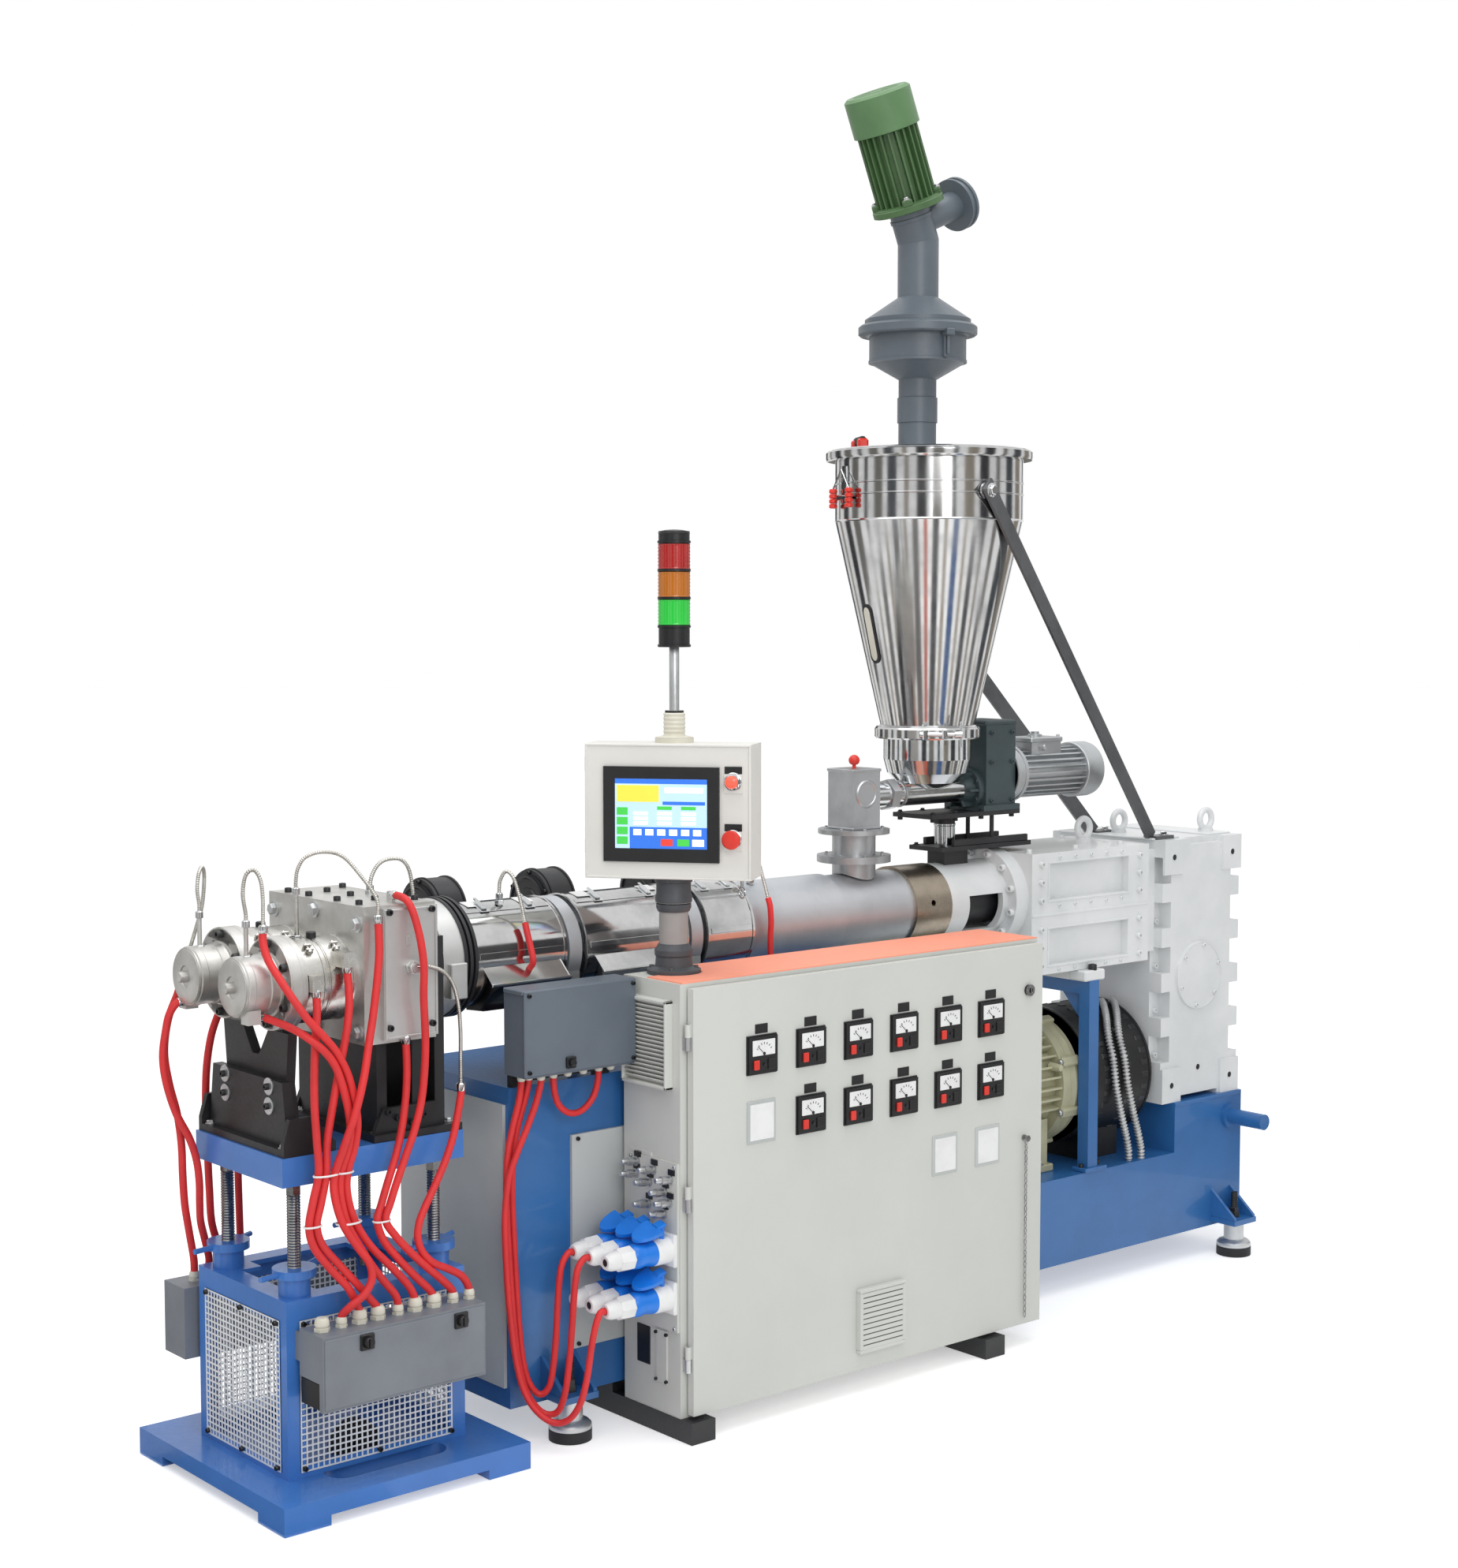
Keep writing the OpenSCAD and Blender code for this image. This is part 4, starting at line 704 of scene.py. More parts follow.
def perforated(bm, corner, across, up, cells, thick):
    """A sheet with square holes, its corner at the lower left of the front."""
    u, v = Vector(across), Vector(up)
    back = u.cross(v) * -thick
    marks = [[i * MESH_PITCH + edge for i in range(n + 1) for edge in (0, MESH_WEB)] for n in cells]
    sheet = {}
    for i, a in enumerate(marks[0]):
        for j, b in enumerate(marks[1]):
            spot = Vector(corner) + u * a + v * b
            sheet[i, j] = bm.verts.new(spot), bm.verts.new(spot + back)
    for i in range(len(marks[0]) - 1):
        for j in range(len(marks[1]) - 1):
            loop = [sheet[i, j], sheet[i + 1, j], sheet[i + 1, j + 1], sheet[i, j + 1]]
            if i % 2 and j % 2:
                for near, far in zip(loop, loop[1:] + loop[:1]):
                    bm.faces.new((near[0], far[0], far[1], near[1]))
            else:
                bm.faces.new([spot[0] for spot in loop])
                bm.faces.new([spot[1] for spot in loop][::-1])


mesh_low, mesh_high = [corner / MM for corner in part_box("die_stand_mesh")]
wide = round((386 - MESH_WEB) / MESH_PITCH)
deep = round((324 - MESH_WEB) / MESH_PITCH)
tall = round((mesh_high.z - mesh_low.z - MESH_WEB) / MESH_PITCH)
bm = bmesh.new()
perforated(bm, (-193, mesh_low.y, mesh_low.z), TO_DRIVE, UP, (wide, tall), 2)
perforated(bm, (193, mesh_high.y, mesh_low.z), TO_DIE, UP, (wide, tall), 2)
perforated(bm, (mesh_low.x, 162, mesh_low.z), FRONT, UP, (deep, tall), 2)
perforated(bm, (mesh_high.x, -162, mesh_low.z), BACK, UP, (deep, tall), 2)
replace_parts(piece("stand_mesh_sheets", bm, "mesh_coat"), "die_stand_mesh")

bm = bmesh.new()
for z in (mesh_low.z + 8, mesh_high.z - 12):
    for t in (-152, 0, 152):
        cap_screw(bm, (mesh_low.x, t, z), TO_DIE, 7)
        cap_screw(bm, (mesh_high.x, t, z), TO_DRIVE, 7)
    for t in (-184, 0, 184):
        cap_screw(bm, (t, mesh_low.y, z), FRONT, 7)
        cap_screw(bm, (t, mesh_high.y, z), BACK, 7)
piece("stand_mesh_screws", bm, "black_plastic")

# %% [markdown]
# The lead box at the front has a lid with two quarter-turn latches, and a row of pale glands on
# top where the sleeves go in; a black block at its lower left is painted shade for the notch where
# the conduit enters. The four jack screws carry a thread; rings of a small pitch read the same as
# a thread at this size. A transport wheel sits in a well of the base.

# %% Lead boxes, jack threads and wheel
LARGE, SMALL = 15, 11.5
bm = bmesh.new()
for x, size in [(-176, LARGE), (-129, SMALL), (-85, LARGE), (-40, LARGE), (10, SMALL), (53, LARGE),
                (101, LARGE), (150, SMALL), (192, SMALL)]:
    gland(bm, (x, -257, 390), UP, size)
grid(bm, gland, (-200, -165, -130, -85), (257,), (390,), UP, SMALL)
piece("lead_box_glands", bm, "ivory_plastic")

TIES = [((-108, -242, 713), 20, 12), ((-152, -242, 714), 30, 15), ((-188, -245, 611), 20, 12),
        ((-107, -254, 608), 29, 17), ((-20, -244, 595), 20, 13)]
bm = bmesh.new()
for spot, half_wide, half_deep in TIES:
    ring(bm, spot, TO_DRIVE, BACK, half_wide, half_deep, 2.2)
piece("cable_ties", bm, "white_plastic")

bm = bmesh.new()
block(bm, (-199, -308, 236), (198, -304, 384), 1.2)
piece("lead_box_lid", bm, "box_grey")

bm = bmesh.new()
for x, z in [(-99, 364), (136, 364)]:
    block(bm, (x - 17, -314, z - 17), (x + 17, -307, z + 17), 2)
    lathe(bm, (x, -313, z), FRONT, [(0, 13), (9, 12), (11, 10)], 20)
    block(bm, (x - 3, -327, z - 11), (x + 3, -320, z + 11), 1)
# Black block at the lower left of the box: painted shade for the notch where the conduit enters.
block(bm, (-202, -289, 232), (-152, -212, 288), 2)
piece("lead_box_latches_and_notch_shade", bm, "black_plastic")

bm = bmesh.new()
for x in (-175, 175):
    for y in (-144, 144):
        rows = [(502 + 3 * k, 13.2 if k % 2 else 15) for k in range(53)]
        lathe(bm, (x, y, 0), UP, rows, 28)
piece("jack_threads", bm, "screw_steel")

bm = bmesh.new()
lathe(bm, (-8, -122, 66), BACK, [(0, 40), (2, 52), (8, 58), (36, 58), (42, 52), (44, 40)], 40)
lathe(bm, (-8, -128, 66), BACK, [(0, 12), (10, 16), (46, 16), (56, 12)], 20)
for y in (-138, -70):
    block(bm, (-24, y, 58), (8, y + 12, 86), 2)
piece("transport_wheel", bm, "black_rubber")

# %% [markdown]
# ## Die
# The die is bolted steel: hexagon bolts hold the heads to the block and the brackets to each other,
# socket screws hold the outlet rings and the side plate. Each kind is one mesh of many heads,
# because they are all alike and never move.

# %% Bolts of the die
AXIS_Z = 1105
HEAD_Y = 102
BLOCK_TOP = 1262
bm = bmesh.new()
PLATE_BOLTS = [(y, z) for y in (-95, 95) for z in (843, 885)]
for y, z in PLATE_BOLTS:
    lathe(bm, (-202, y, z), TO_DIE, [(-1, 19), (2.4, 19), (3.2, 18)], 28)
for y, z in [(176, 1224), (-176, 1224), (0, 1240), (-176, 990), (176, 990), (0, 985)]:
    hex_bolt(bm, (-30, y, z), TO_DIE, 15)
grid(bm, hex_bolt, (-206, -110, 20, 150, 206), (-160, 160), (764,), UP, 9)
piece("die_hex_bolts", bm, "zinc_plate")

bm = bmesh.new()
for y in (-HEAD_Y, HEAD_Y):
    circle(bm, cap_screw, (-205, y, AXIS_Z), TO_DIE, 84, 6, 30, 11)
    lathe(bm, (-104, y + math.copysign(6, y), 1190), UP, [(0, 11), (16, 11), (18, 9)], 16)
grid(bm, cap_screw, (-10,), (-150, -60, 60, 150), (BLOCK_TOP,), UP, 10)
grid(bm, cap_screw, (60,), (-100, 0, 100), (BLOCK_TOP,), UP, 10)
grid(bm, cap_screw, (130,), (-150, 150), (BLOCK_TOP,), UP, 10)
for y, z in PLATE_BOLTS:
    cap_screw(bm, (-205, y, z), TO_DIE, 9)
grid(bm, cap_screw, (25, 132), (-212,), (999, 1248), FRONT, 9)
for x, z in [(65, 794), (130, 794), (40, 810), (100, 780)]:
    cap_screw(bm, (x, -175, z), FRONT, 9)
piece("die_cap_screws", bm, "satin_black")

# %% [markdown]
# The side plate has a raised border, an oblong mark and a round port for its sensor. The outlets
# are turned parts: a shoulder, a shallow groove and a chamfered mouth. A turned profile gives each
# edge its own chamfer, where a bevel would ease them all alike.

# %% Side plate and outlets
bm = bmesh.new()
for x0, z0, x1, z1 in [(14, 975, 19, 1254), (141, 975, 146, 1254),
                       (19, 975, 141, 980), (19, 1249, 141, 1254)]:
    block(bm, (x0, -214.5, z0), (x1, -211, z1), 0.8)
block(bm, (68, -213.5, 1171), (80, -211, 1195), 2.0)
lathe(bm, (81, -212, 1126), FRONT, [(0, 17), (5, 17), (6, 15), (18, 15), (19, 13)], 6)
block(bm, (225, -150, 1030), (268, -118, 1110), 2)
piece("side_plate_border", bm, "plate_steel")

bm = bmesh.new()
for y in (-HEAD_Y, HEAD_Y):
    lathe(bm, (-287, y, AXIS_Z), TO_DIE,
          [(-1, 60), (2, 60), (4, 57), (4, 24), (1, 22), (1, 13), (20, 12), (22, 9)], 48)
    lathe(bm, (-205, y, AXIS_Z), TO_DIE, [(0, 70), (4, 70), (6, 66), (10, 64.5), (24, 64.5), (26, 62.8),
                                          (60, 62.8), (62, 64.5), (76, 64.5), (78, 62.5)], 48)
    lathe(bm, (-165, y, AXIS_Z), TO_DIE,
          [(0, 99.6), (12, 99.6), (13, 98.2), (15, 98.2), (16, 99.6), (36, 99.6), (40, 96)], 64)
piece("outlet_turnings", bm, "ground_steel")

# %% [markdown]
# Heater bands are drawn tight by a screw through two lugs, and each sensor stem ends in a hexagon
# fitting with a knurled nut. A knurl this fine is drawn as a ring of short flats.

# %% Band clamps and sensor fittings
bm = bmesh.new()
for y in (-HEAD_Y, HEAD_Y):
    outside = math.copysign(1, y)
    for x in (-142, -78):
        for turn in (52, 128):
            up = Vector((0, outside * math.cos(math.radians(turn)), math.sin(math.radians(turn))))
            spot = Vector((x, y, AXIS_Z)) + up * 90
            tilt = Matrix.Translation(spot) @ Vector(UP).rotation_difference(up).to_matrix().to_4x4()
            block(bm, (-9, -9, -2), (9, -4, 12), 1, tilt)
            block(bm, (-9, 4, -2), (9, 9, 12), 1, tilt)
            lathe(bm, tilt @ Vector((0, -14, 6)), tilt.to_3x3() @ Vector(BACK),
                  [(0, 6), (5, 6), (5, 3), (28, 3)], 12)
    for x in (-162, -122, -106, -52):
        lathe(bm, (x, y, AXIS_Z), TO_DRIVE, [(0, 90.8), (1, 92.4), (4, 92.4), (5, 90.8)], 64)
piece("band_clamps", bm, "band_steel")

FITTINGS = [((-255, -102, 1160), UP, 84), ((-255, 102, 1160), UP, 84), ((-135, -102, 1192), UP, 112),
            ((110, 0, 1261), UP, 22), ((222, 0, 1218), UP, 26), ((430, -40, 1218), UP, 26),
            ((1200, -30, 1210), UP, 28), ((81, -226, 1126), TO_DRIVE, 30)]
bm = bmesh.new()
for foot, along, tall in FITTINGS:
    lathe(bm, foot, along, [(0, 11), (9, 11), (10, 9.5)], 6)
    lathe(bm, foot, along, [(9, 4.5), (tall - 16, 4.5), (tall - 15, 8.5), (tall - 2, 8.5), (tall, 6)], 14)
for route in DIE_LEADS:
    foot, ahead = Vector(route[0]) / MM, (Vector(route[1]) - Vector(route[0])).normalized()
    lathe(bm, foot - ahead * 6, ahead, [(0, 7), (3, 10), (16, 10), (18, 9)], 14)
piece("sensor_fittings", bm, "chrome")

# %% [markdown]
# ## Barrel
# Polished sheet covers wrap the heated zones. Their ends are rolled to a bead, a lap seam runs along
# the front, small toggle latches hold the lap, and blank plates sit on top. All of them are thin
# pieces laid over the solid covers, placed by a helper that knows which way is outward.

# %% Beads, seams and latches of the covers
COVERS = [(312, 566), (622, 930), (988, 1140)]
COVER_R = 118


def round_the_barrel(x, turn):
    """A frame on the barrel: Z points outward, X along the barrel."""
    angle = math.radians(turn)
    out = Vector((0, -math.cos(angle), math.sin(angle)))
    spin = Matrix.Rotation(math.pi / 2 - angle, 4, "X")
    return Matrix.Translation(Vector((x, 0, AXIS_Z)) + out * COVER_R) @ spin


bm = bmesh.new()
for x0, x1 in COVERS:
    for x in (x0, x1 - 9):
        rows = [(0, COVER_R - 2), (1.5, COVER_R + 2.4), (7, COVER_R + 2.4), (9, COVER_R - 2)]
        lathe(bm, (x, 0, AXIS_Z), TO_DRIVE, rows, 72)
    for turn in (4, 62, 150):
        block(bm, (12, -7, -1), (x1 - x0 - 12, 7, 1.6), 0.7, round_the_barrel(x0, turn))
piece("cover_beads", bm, "mirror_sheet")

bm = bmesh.new()
for x0, x1 in COVERS:
    for x in (x0 + 0.25 * (x1 - x0), x0 + 0.75 * (x1 - x0)):
        seat = round_the_barrel(x, 66)
        block(bm, (-13, -18, 0), (13, 18, 3), 1, seat)
        block(bm, (-7, -12, 2), (7, 26, 8), 2, seat)
        block(bm, (-4, 22, 4), (4, 36, 9), 1.5, seat)
piece("cover_latches", bm, "chrome")

bm = bmesh.new()
for x0, x1 in COVERS[:2]:
    for x in (x0 + 50, x1 - 62):
        block(bm, (-20, -18, 0.5), (20, 18, 2), 0.6, round_the_barrel(x, 78))
piece("cover_plates", bm, "white_plastic")

# %% [markdown]
# The sloping terminal covers are folded from the same bright sheet, with a turned-up lip. The black
# blowers behind the barrel show a dished front with a hub, and ribs around their drums. A bump
# in the finish could fake the ribs, but real rings also change the outline.

# %% Terminal covers and blowers
LIP = [(-120, 990), (-159, 1052), (-106, 1101), (-100, 1092), (-148, 1052), (-114, 996)]
bm = bmesh.new()
for x in (330, 645):
    for z, y in [(1053, -158), (1100, -106)]:
        block(bm, (x - 3, y - 3, z - 4), (x + 218, y + 3, z + 3), 1)
    for side in (-1.5, 215):
        slab(bm, [(x + side, y, z) for y, z in LIP], (1.6, 0, 0))
piece("terminal_cover_lips", bm, "mirror_sheet")

bm = bmesh.new()
BLOWER_Y, BLOWER_Z = 175, 1178
for x in (352, 668, 1010):
    lathe(bm, (x - 6, BLOWER_Y, BLOWER_Z), TO_DIE,
          [(-1, 70), (3, 70), (5, 66), (-2, 60), (-4, 44), (3, 40), (6, 30), (7, 14), (13, 12), (14, 9)], 48)
    for dx in (8, 72):
        lathe(bm, (x + dx, BLOWER_Y, BLOWER_Z), TO_DRIVE, bead(84, 88, 7), 56)
    circle(bm, cap_screw, (x, BLOWER_Y, BLOWER_Z), TO_DIE, 78, 6, 30, 6)
piece("blower_fronts", bm, "black_plastic")

# %% [markdown]
# The terminal box is a cast box with a grey lid, a black quarter-turn latch and a row of glands
# underneath, where the red sleeves come out. The lid is a box with eased edges: a narrow bevel
# catches a line of light, and a perfectly sharp edge would look drawn.

# %% Terminal box
bm = bmesh.new()
block(bm, (341, -264, 857), (654, -256, 1051), 3)
block(bm, (340, -256, 1040), (655, -180, 1051), 2.5)
piece("terminal_box_lid", bm, "slate_coat")

bm = bmesh.new()
for x, y in [(372, -205), (394, -203), (414, -222), (450, -219), (490, -219), (534, -219),
             (578, -219), (612, -219)]:
    gland(bm, (x, y, 855), DOWN, 9)
piece("terminal_box_glands", bm, "ivory_plastic")

bm = bmesh.new()
block(bm, (452, -271, 866), (478, -262, 892), 2)
lathe(bm, (465, -270, 879), FRONT, [(0, 9), (8, 8), (9, 6)], 16)
grid(bm, cap_screw, (352, 643), (-264,), (868, 1040), FRONT, 6)
piece("terminal_box_latch", bm, "black_plastic")

# %% [markdown]
# ## Drive
# The white castings are held by socket screws that wear the same paint, so they read as small bright
# caps. The gearbox shows drilled corner pads and a round cover; a drilled hole is a bright rim round
# a black disc sunk in the face, and the black is painted shade for the depth of the hole.

# %% Casting screws
bm = bmesh.new()
ROUND_COVER = (2812, -168, 833)
circle(bm, cap_screw, (2062, 0, AXIS_Z), TO_DIE, 124, 12, 15, 12)
grid(bm, cap_screw, (2145, 2556), (-150,), (1200, 1150, 1100, 1020, 970, 920), FRONT, 11)
grid(bm, cap_screw, (2220, 2285, 2350, 2415, 2480), (-150,), (1216, 1083, 906), FRONT, 6)
circle(bm, cap_screw, ROUND_COVER, FRONT, 88, 6, 20, 8)
grid(bm, cap_screw, (2668, 2982), (-117,), (608, 738, 868, 998), FRONT, 10)
grid(bm, cap_screw, (2140, 2330, 2520), (-110, 110), (1230,), UP, 10)
piece("casting_screws", bm, "white_enamel")

bm = bmesh.new()
lathe(bm, ROUND_COVER, FRONT, [(0, 99), (1.5, 99), (2.5, 97), (2.5, 95), (0.6, 94.5)], 72)
block(bm, (2112, -152.5, 1056), (2598, -149, 1064), 1)
for z in (1100, 920):
    for low, high in [((2174, z - 6), (2516, z)), ((2174, z + 100), (2516, z + 106)),
                      ((2174, z), (2180, z + 100)), ((2510, z), (2516, z + 100))]:
        block(bm, (low[0], -152.5, low[1]), (high[0], -149, high[1]), 1)
for y in (-178, 118):
    block(bm, (2300, y, 864), (2385, y + 60, 894), 4)
BORES = [(2692, -168, 1185), (2958, -168, 1185), (2692, -168, 521), (2958, -168, 521), (2820, -160, 560)]
for spot in BORES:
    lathe(bm, spot, FRONT, [(-1, 13), (1.4, 12.4), (1.4, 9), (0.3, 8.6)], 28)
block(bm, (2640, -130, 1234), (2760, 230, 1240), 2)
block(bm, (2890, -130, 1234), (2996, 230, 1240), 2)
piece("casting_ribs", bm, "white_enamel")

# Black discs at the bottom of the bores: painted shade for the depth of the holes.
bm = bmesh.new()
for spot in BORES:
    lathe(bm, spot, FRONT, [(0, 8.4), (0.5, 8.4), (0.7, 8)], 24)
piece("pad_bores_painted_shade", bm, "black_plastic")

# %% [markdown]
# Under the transfer case stand the motor and the black coupling guard. The guard is a pressed drum
# with rows of ventilation slots; here the slots are small dished frames around its rim, in a lighter
# black than the drum, as painted highlight for the grey sheen on their edges. The motor has a
# bolted end ring, a lifting lug and bolted feet.

# %% Coupling guard and motor
MOTOR_Y, MOTOR_Z = 52, 563
bm = bmesh.new()
for k in range(34):
    turn = math.tau * k / 34
    spin = Matrix.Translation((0, MOTOR_Y, MOTOR_Z)) @ Matrix.Rotation(turn, 4, "X")
    for x0 in (2430, 2520, 2590):
        block(bm, (x0, 192, -9), (x0 + 26, 197.5, 9), 2.5, spin)
lathe(bm, (2630, MOTOR_Y, MOTOR_Z), TO_DIE, [(-2, 150), (-2, 190), (0, 197), (8, 197), (9, 194)], 64)
lathe(bm, (2365, MOTOR_Y, MOTOR_Z), TO_DRIVE, bead(194, 198, 15), 64)
# Slot frames and rims in a lighter black than the drum: painted highlight on their edges.
piece("guard_slots_painted_highlight", bm, "black_plastic")

bm = bmesh.new()
lathe(bm, (2340, MOTOR_Y, MOTOR_Z), TO_DIE,
      [(-2, 150), (0, 172), (8, 184), (22, 187), (28, 184), (40, 184), (42, 178)], 64)
for k in range(8):
    turn = math.radians(22.5 + 45 * k)
    spin = Matrix.Translation((0, MOTOR_Y, MOTOR_Z)) @ Matrix.Rotation(turn, 4, "X")
    block(bm, (2270, 168, -14), (2338, 196, 14), 4, spin)
block(bm, (2010, 20, 720), (2110, 84, 790), 6)
for x in (1900, 2180):
    block(bm, (x - 8, -98, 324), (x + 88, 202, 346), 4)
lathe(bm, (2250, MOTOR_Y - 150, MOTOR_Z + 60), FRONT, [(0, 12), (26, 11), (40, 9), (42, 6)], 16)
piece("motor_castings", bm, "motor_khaki")

bm = bmesh.new()
grid(bm, hex_bolt, (1940, 2220), (-80, 184), (346,), UP, 14)
circle(bm, hex_bolt, (2270, MOTOR_Y, MOTOR_Z), TO_DIE, 186, 8, 22.5, 8)
piece("motor_bolts", bm, "zinc_plate")

# %% [markdown]
# ## Bed
# The portal that carries the transfer case is welded from bar with gussets and foot plates. The
# bed rests on four machine feet: a rubber pad under a steel dome, a stud with lock nuts, and
# a bracket stiffened by two triangular webs. A web is a flat outline with a thickness, the
# shortest way to a plate.

# %% Portal, feet and bed webs
bm = bmesh.new()
for y in (-175, 237):
    block(bm, (2306, y - 8, 325), (2396, y + 46, 337), 2)
for leg, reach in [(-138, 78), (238, -78)]:
    slab(bm, [(2336, leg, 827), (2336, leg + reach, 827), (2336, leg, 742)], (10, 0, 0))
for x in (440, 2870):
    for y0, y1 in [(-175, -262), (275, 362)]:
        for dx in (2, 88):
            slab(bm, [(x + dx, y0, 108), (x + dx, y1, 108), (x + dx, y1, 116), (x + dx, y0, 190)], (10, 0, 0))
for x0, x1, z in [(1650, 1775, 815), (2700, 3005, 466)]:
    block(bm, (x0, -178, z - 6), (x1, -174, z + 4), 1.5)
piece("bed_weldments", bm, "bed_enamel")

bm = bmesh.new()
FEET = [(x, y) for x in (490, 2920) for y in (-223, 323)]
for x, y in FEET:
    lathe(bm, (x, y, 25), UP,
          [(0, 49), (5, 50), (11, 49), (17, 43), (20, 31), (22, 29), (68, 29), (70, 20)], 40)
piece("foot_domes", bm, "zinc_plate")

bm = bmesh.new()
for x, y in FEET:
    lathe(bm, (x, y, 110), UP, [(0, 16), (13, 16), (16, 14)], 6)
    lathe(bm, (x, y, 126), UP, [(0, 14), (11, 14), (13, 12)], 6)
    lathe(bm, (x, y, 138), UP, [(2 * k, 10.5 if k % 2 else 9) for k in range(24)], 18)
grid(bm, cap_screw, (2380,), (-156, 256), (337,), UP, 13)
grid(bm, cap_screw, (2316,), (-156, 256), (337,), UP, 9)
grid(bm, cap_screw, (2345,), (-165, 165), (894,), UP, 15)
grid(bm, cap_screw, (544, 874, 924, 1254, 1304, 1634), (-183,), (200, 680), FRONT, 6)
piece("bed_black_hardware", bm, "satin_black")

# %% [markdown]
# ## Hopper and feeder
# The hopper is spun and rolled from bright sheet. Beads stiffen its drum, a turned rim carries the
# lid, and a clamp ring with a tee bolt joins it to the bowl below. A small helper finds the
# place on the wall for a given direction, so that no angle has to be worked out by hand.

# %% Beads and clamp ring
HOPPER_X = 1855
HOPPER_R = 250
LID_Z = 2316
BOWL_Z = 1565


def on_hopper(turn, z, radius, slope=0.0):
    """A frame on the hopper wall: X points outward, Z up along the wall."""
    return (Matrix.Translation((HOPPER_X, 0, z)) @ Matrix.Rotation(math.radians(turn), 4, "Z")
            @ Matrix.Translation((radius, 0, 0)) @ Matrix.Rotation(math.radians(slope), 4, "Y"))


bm = bmesh.new()
for z in (2196, 2226):
    rows = [(-3, HOPPER_R - 1), (-1, HOPPER_R + 2), (1, HOPPER_R + 2), (3, HOPPER_R - 1)]
    lathe(bm, (HOPPER_X, 0, z), UP, rows, 96)
lathe(bm, (HOPPER_X, 0, 2128), UP, [(-3, HOPPER_R - 2), (0, HOPPER_R + 2), (5, HOPPER_R - 1)], 96)
lathe(bm, (HOPPER_X, 0, LID_Z - 30), UP, [(0, 262), (2, 273), (8, 275), (22, 275), (27, 268), (29, 250)], 96)
lathe(bm, (HOPPER_X, 0, BOWL_Z - 14), UP, [(0, 120), (0, 139), (4, 142), (26, 142), (31, 138), (33, 124)], 80)
piece("hopper_beads", bm, "mirror_sheet")

bm = bmesh.new()
seat = on_hopper(232, BOWL_Z + 2, 142)
for y in (-26, 26):
    block(bm, (-6, y - 7, -14), (22, y + 7, 14), 3, seat)
lathe(bm, seat @ Vector((12, -40, 0)), seat.to_3x3() @ Vector(BACK),
      [(0, 9), (10, 9), (10, 6), (92, 6), (93, 10), (112, 10), (114, 8)], 16)
block(bm, (8, 66, -34), (16, 72, 34), 2, seat)
CLAMPS = [on_hopper(turn, 2230, HOPPER_R) for turn in (164, 10)]
for clamp in CLAMPS:
    block(bm, (-1, -16, -60), (5, 16, 40), 2, clamp)
    block(bm, (4, -48, -50), (14, 48, -38), 2, clamp)
    lathe(bm, clamp @ Vector((12, 0, 26)), UP, [(0, 2.5), (42, 2.5)], 8)
    for y in (-45, 45):
        foot, head = clamp @ Vector((13, y, -20)), clamp @ Vector((12, 0, 30))
        lathe(bm, foot, head - foot, [(0, 2.5), ((head - foot).length, 2.5)], 8)
for side in (-1, 1):
    hex_bolt(bm, (1815, 266 * side, 2200), (0, side, 0), 15)
    lathe(bm, (1815, 247 * side, 2200), (0, side, 0), [(0, 22), (6, 22), (8, 18)], 24)
    hex_bolt(bm, (2712, 110 * side, 1245), UP, 11)
piece("hopper_fittings", bm, "chrome")

# %% [markdown]
# Red grips hang on two clamps, a handle sits on the lid, and an oval sight glass is let into the
# cone. The oval is one outline, used for the rubber frame and, a little smaller, for the pane.

# %% Grips and sight glass
bm = bmesh.new()
for clamp in CLAMPS:
    for k in range(4):
        for y in (-45, 45):
            lathe(bm, clamp @ Vector((13, y, -70 + 13 * k)), UP, [(0, 8), (2, 11), (9, 11), (12, 8)], 14)
grip = on_hopper(150, LID_Z - 2, 190)
block(bm, (-14, -46, 0), (14, -22, 30), 5, grip)
block(bm, (-14, 22, 0), (14, 46, 30), 5, grip)
piece("red_grips", bm, "red_plastic")

bm = bmesh.new()
block(bm, (-9, -40, 12), (9, 40, 36), 5, grip)
block(bm, (-20, -50, -1), (20, 50, 5), 2, grip)
glass = on_hopper(170, 1830, 182, 12.7)
turns = [math.tau * (k + 0.5) / 28 for k in range(28)]
outline = [(math.cos(t) * 20, math.sin(t) * 20 + math.copysign(60, math.sin(t))) for t in turns]
slab(bm, [glass @ Vector((2.5, y, z)) for y, z in outline], glass.to_3x3() @ Vector((-8, 0, 0)))
piece("sight_glass_frame", bm, "black_rubber")

bm = bmesh.new()
pane = [(y * 0.66, z * 0.9) for y, z in outline]
slab(bm, [glass @ Vector((3.5, y, z)) for y, z in pane], glass.to_3x3() @ Vector((-6, 0, 0)))
piece("sight_glass_pane", bm, "ivory_plastic")

# %% [markdown]
# Below the hopper a screw pushes the feed into a square chute with two bolted flanges, a round
# window and a red knob on top. They are turned and eased shapes again, set on the solid chute.

# %% Feed chute
CHUTE_X = 1585
FEED_Z = 1405
bm = bmesh.new()
for z in (1254, 1322):
    circle(bm, hex_bolt, (CHUTE_X, 0, z), UP, 80, 8, 22.5, 5)
lathe(bm, (CHUTE_X, -48, 1415), FRONT, [(-1, 37), (1, 37), (4, 34), (4, 30), (2, 28)], 48)
block(bm, (CHUTE_X - 51, -51, 1472), (CHUTE_X + 51, 51, 1480), 1.5)
block(bm, (CHUTE_X - 50, -50, 1322), (CHUTE_X + 50, 50, 1328), 1.5)
lathe(bm, (1700, 0, FEED_Z), TO_DRIVE, [(-8, 34), (-6, 43), (22, 43), (24, 34)], 6)
for x in (1640, 1742):
    lathe(bm, (x, 0, FEED_Z), TO_DRIVE, bead(32, 36, 8), 40)
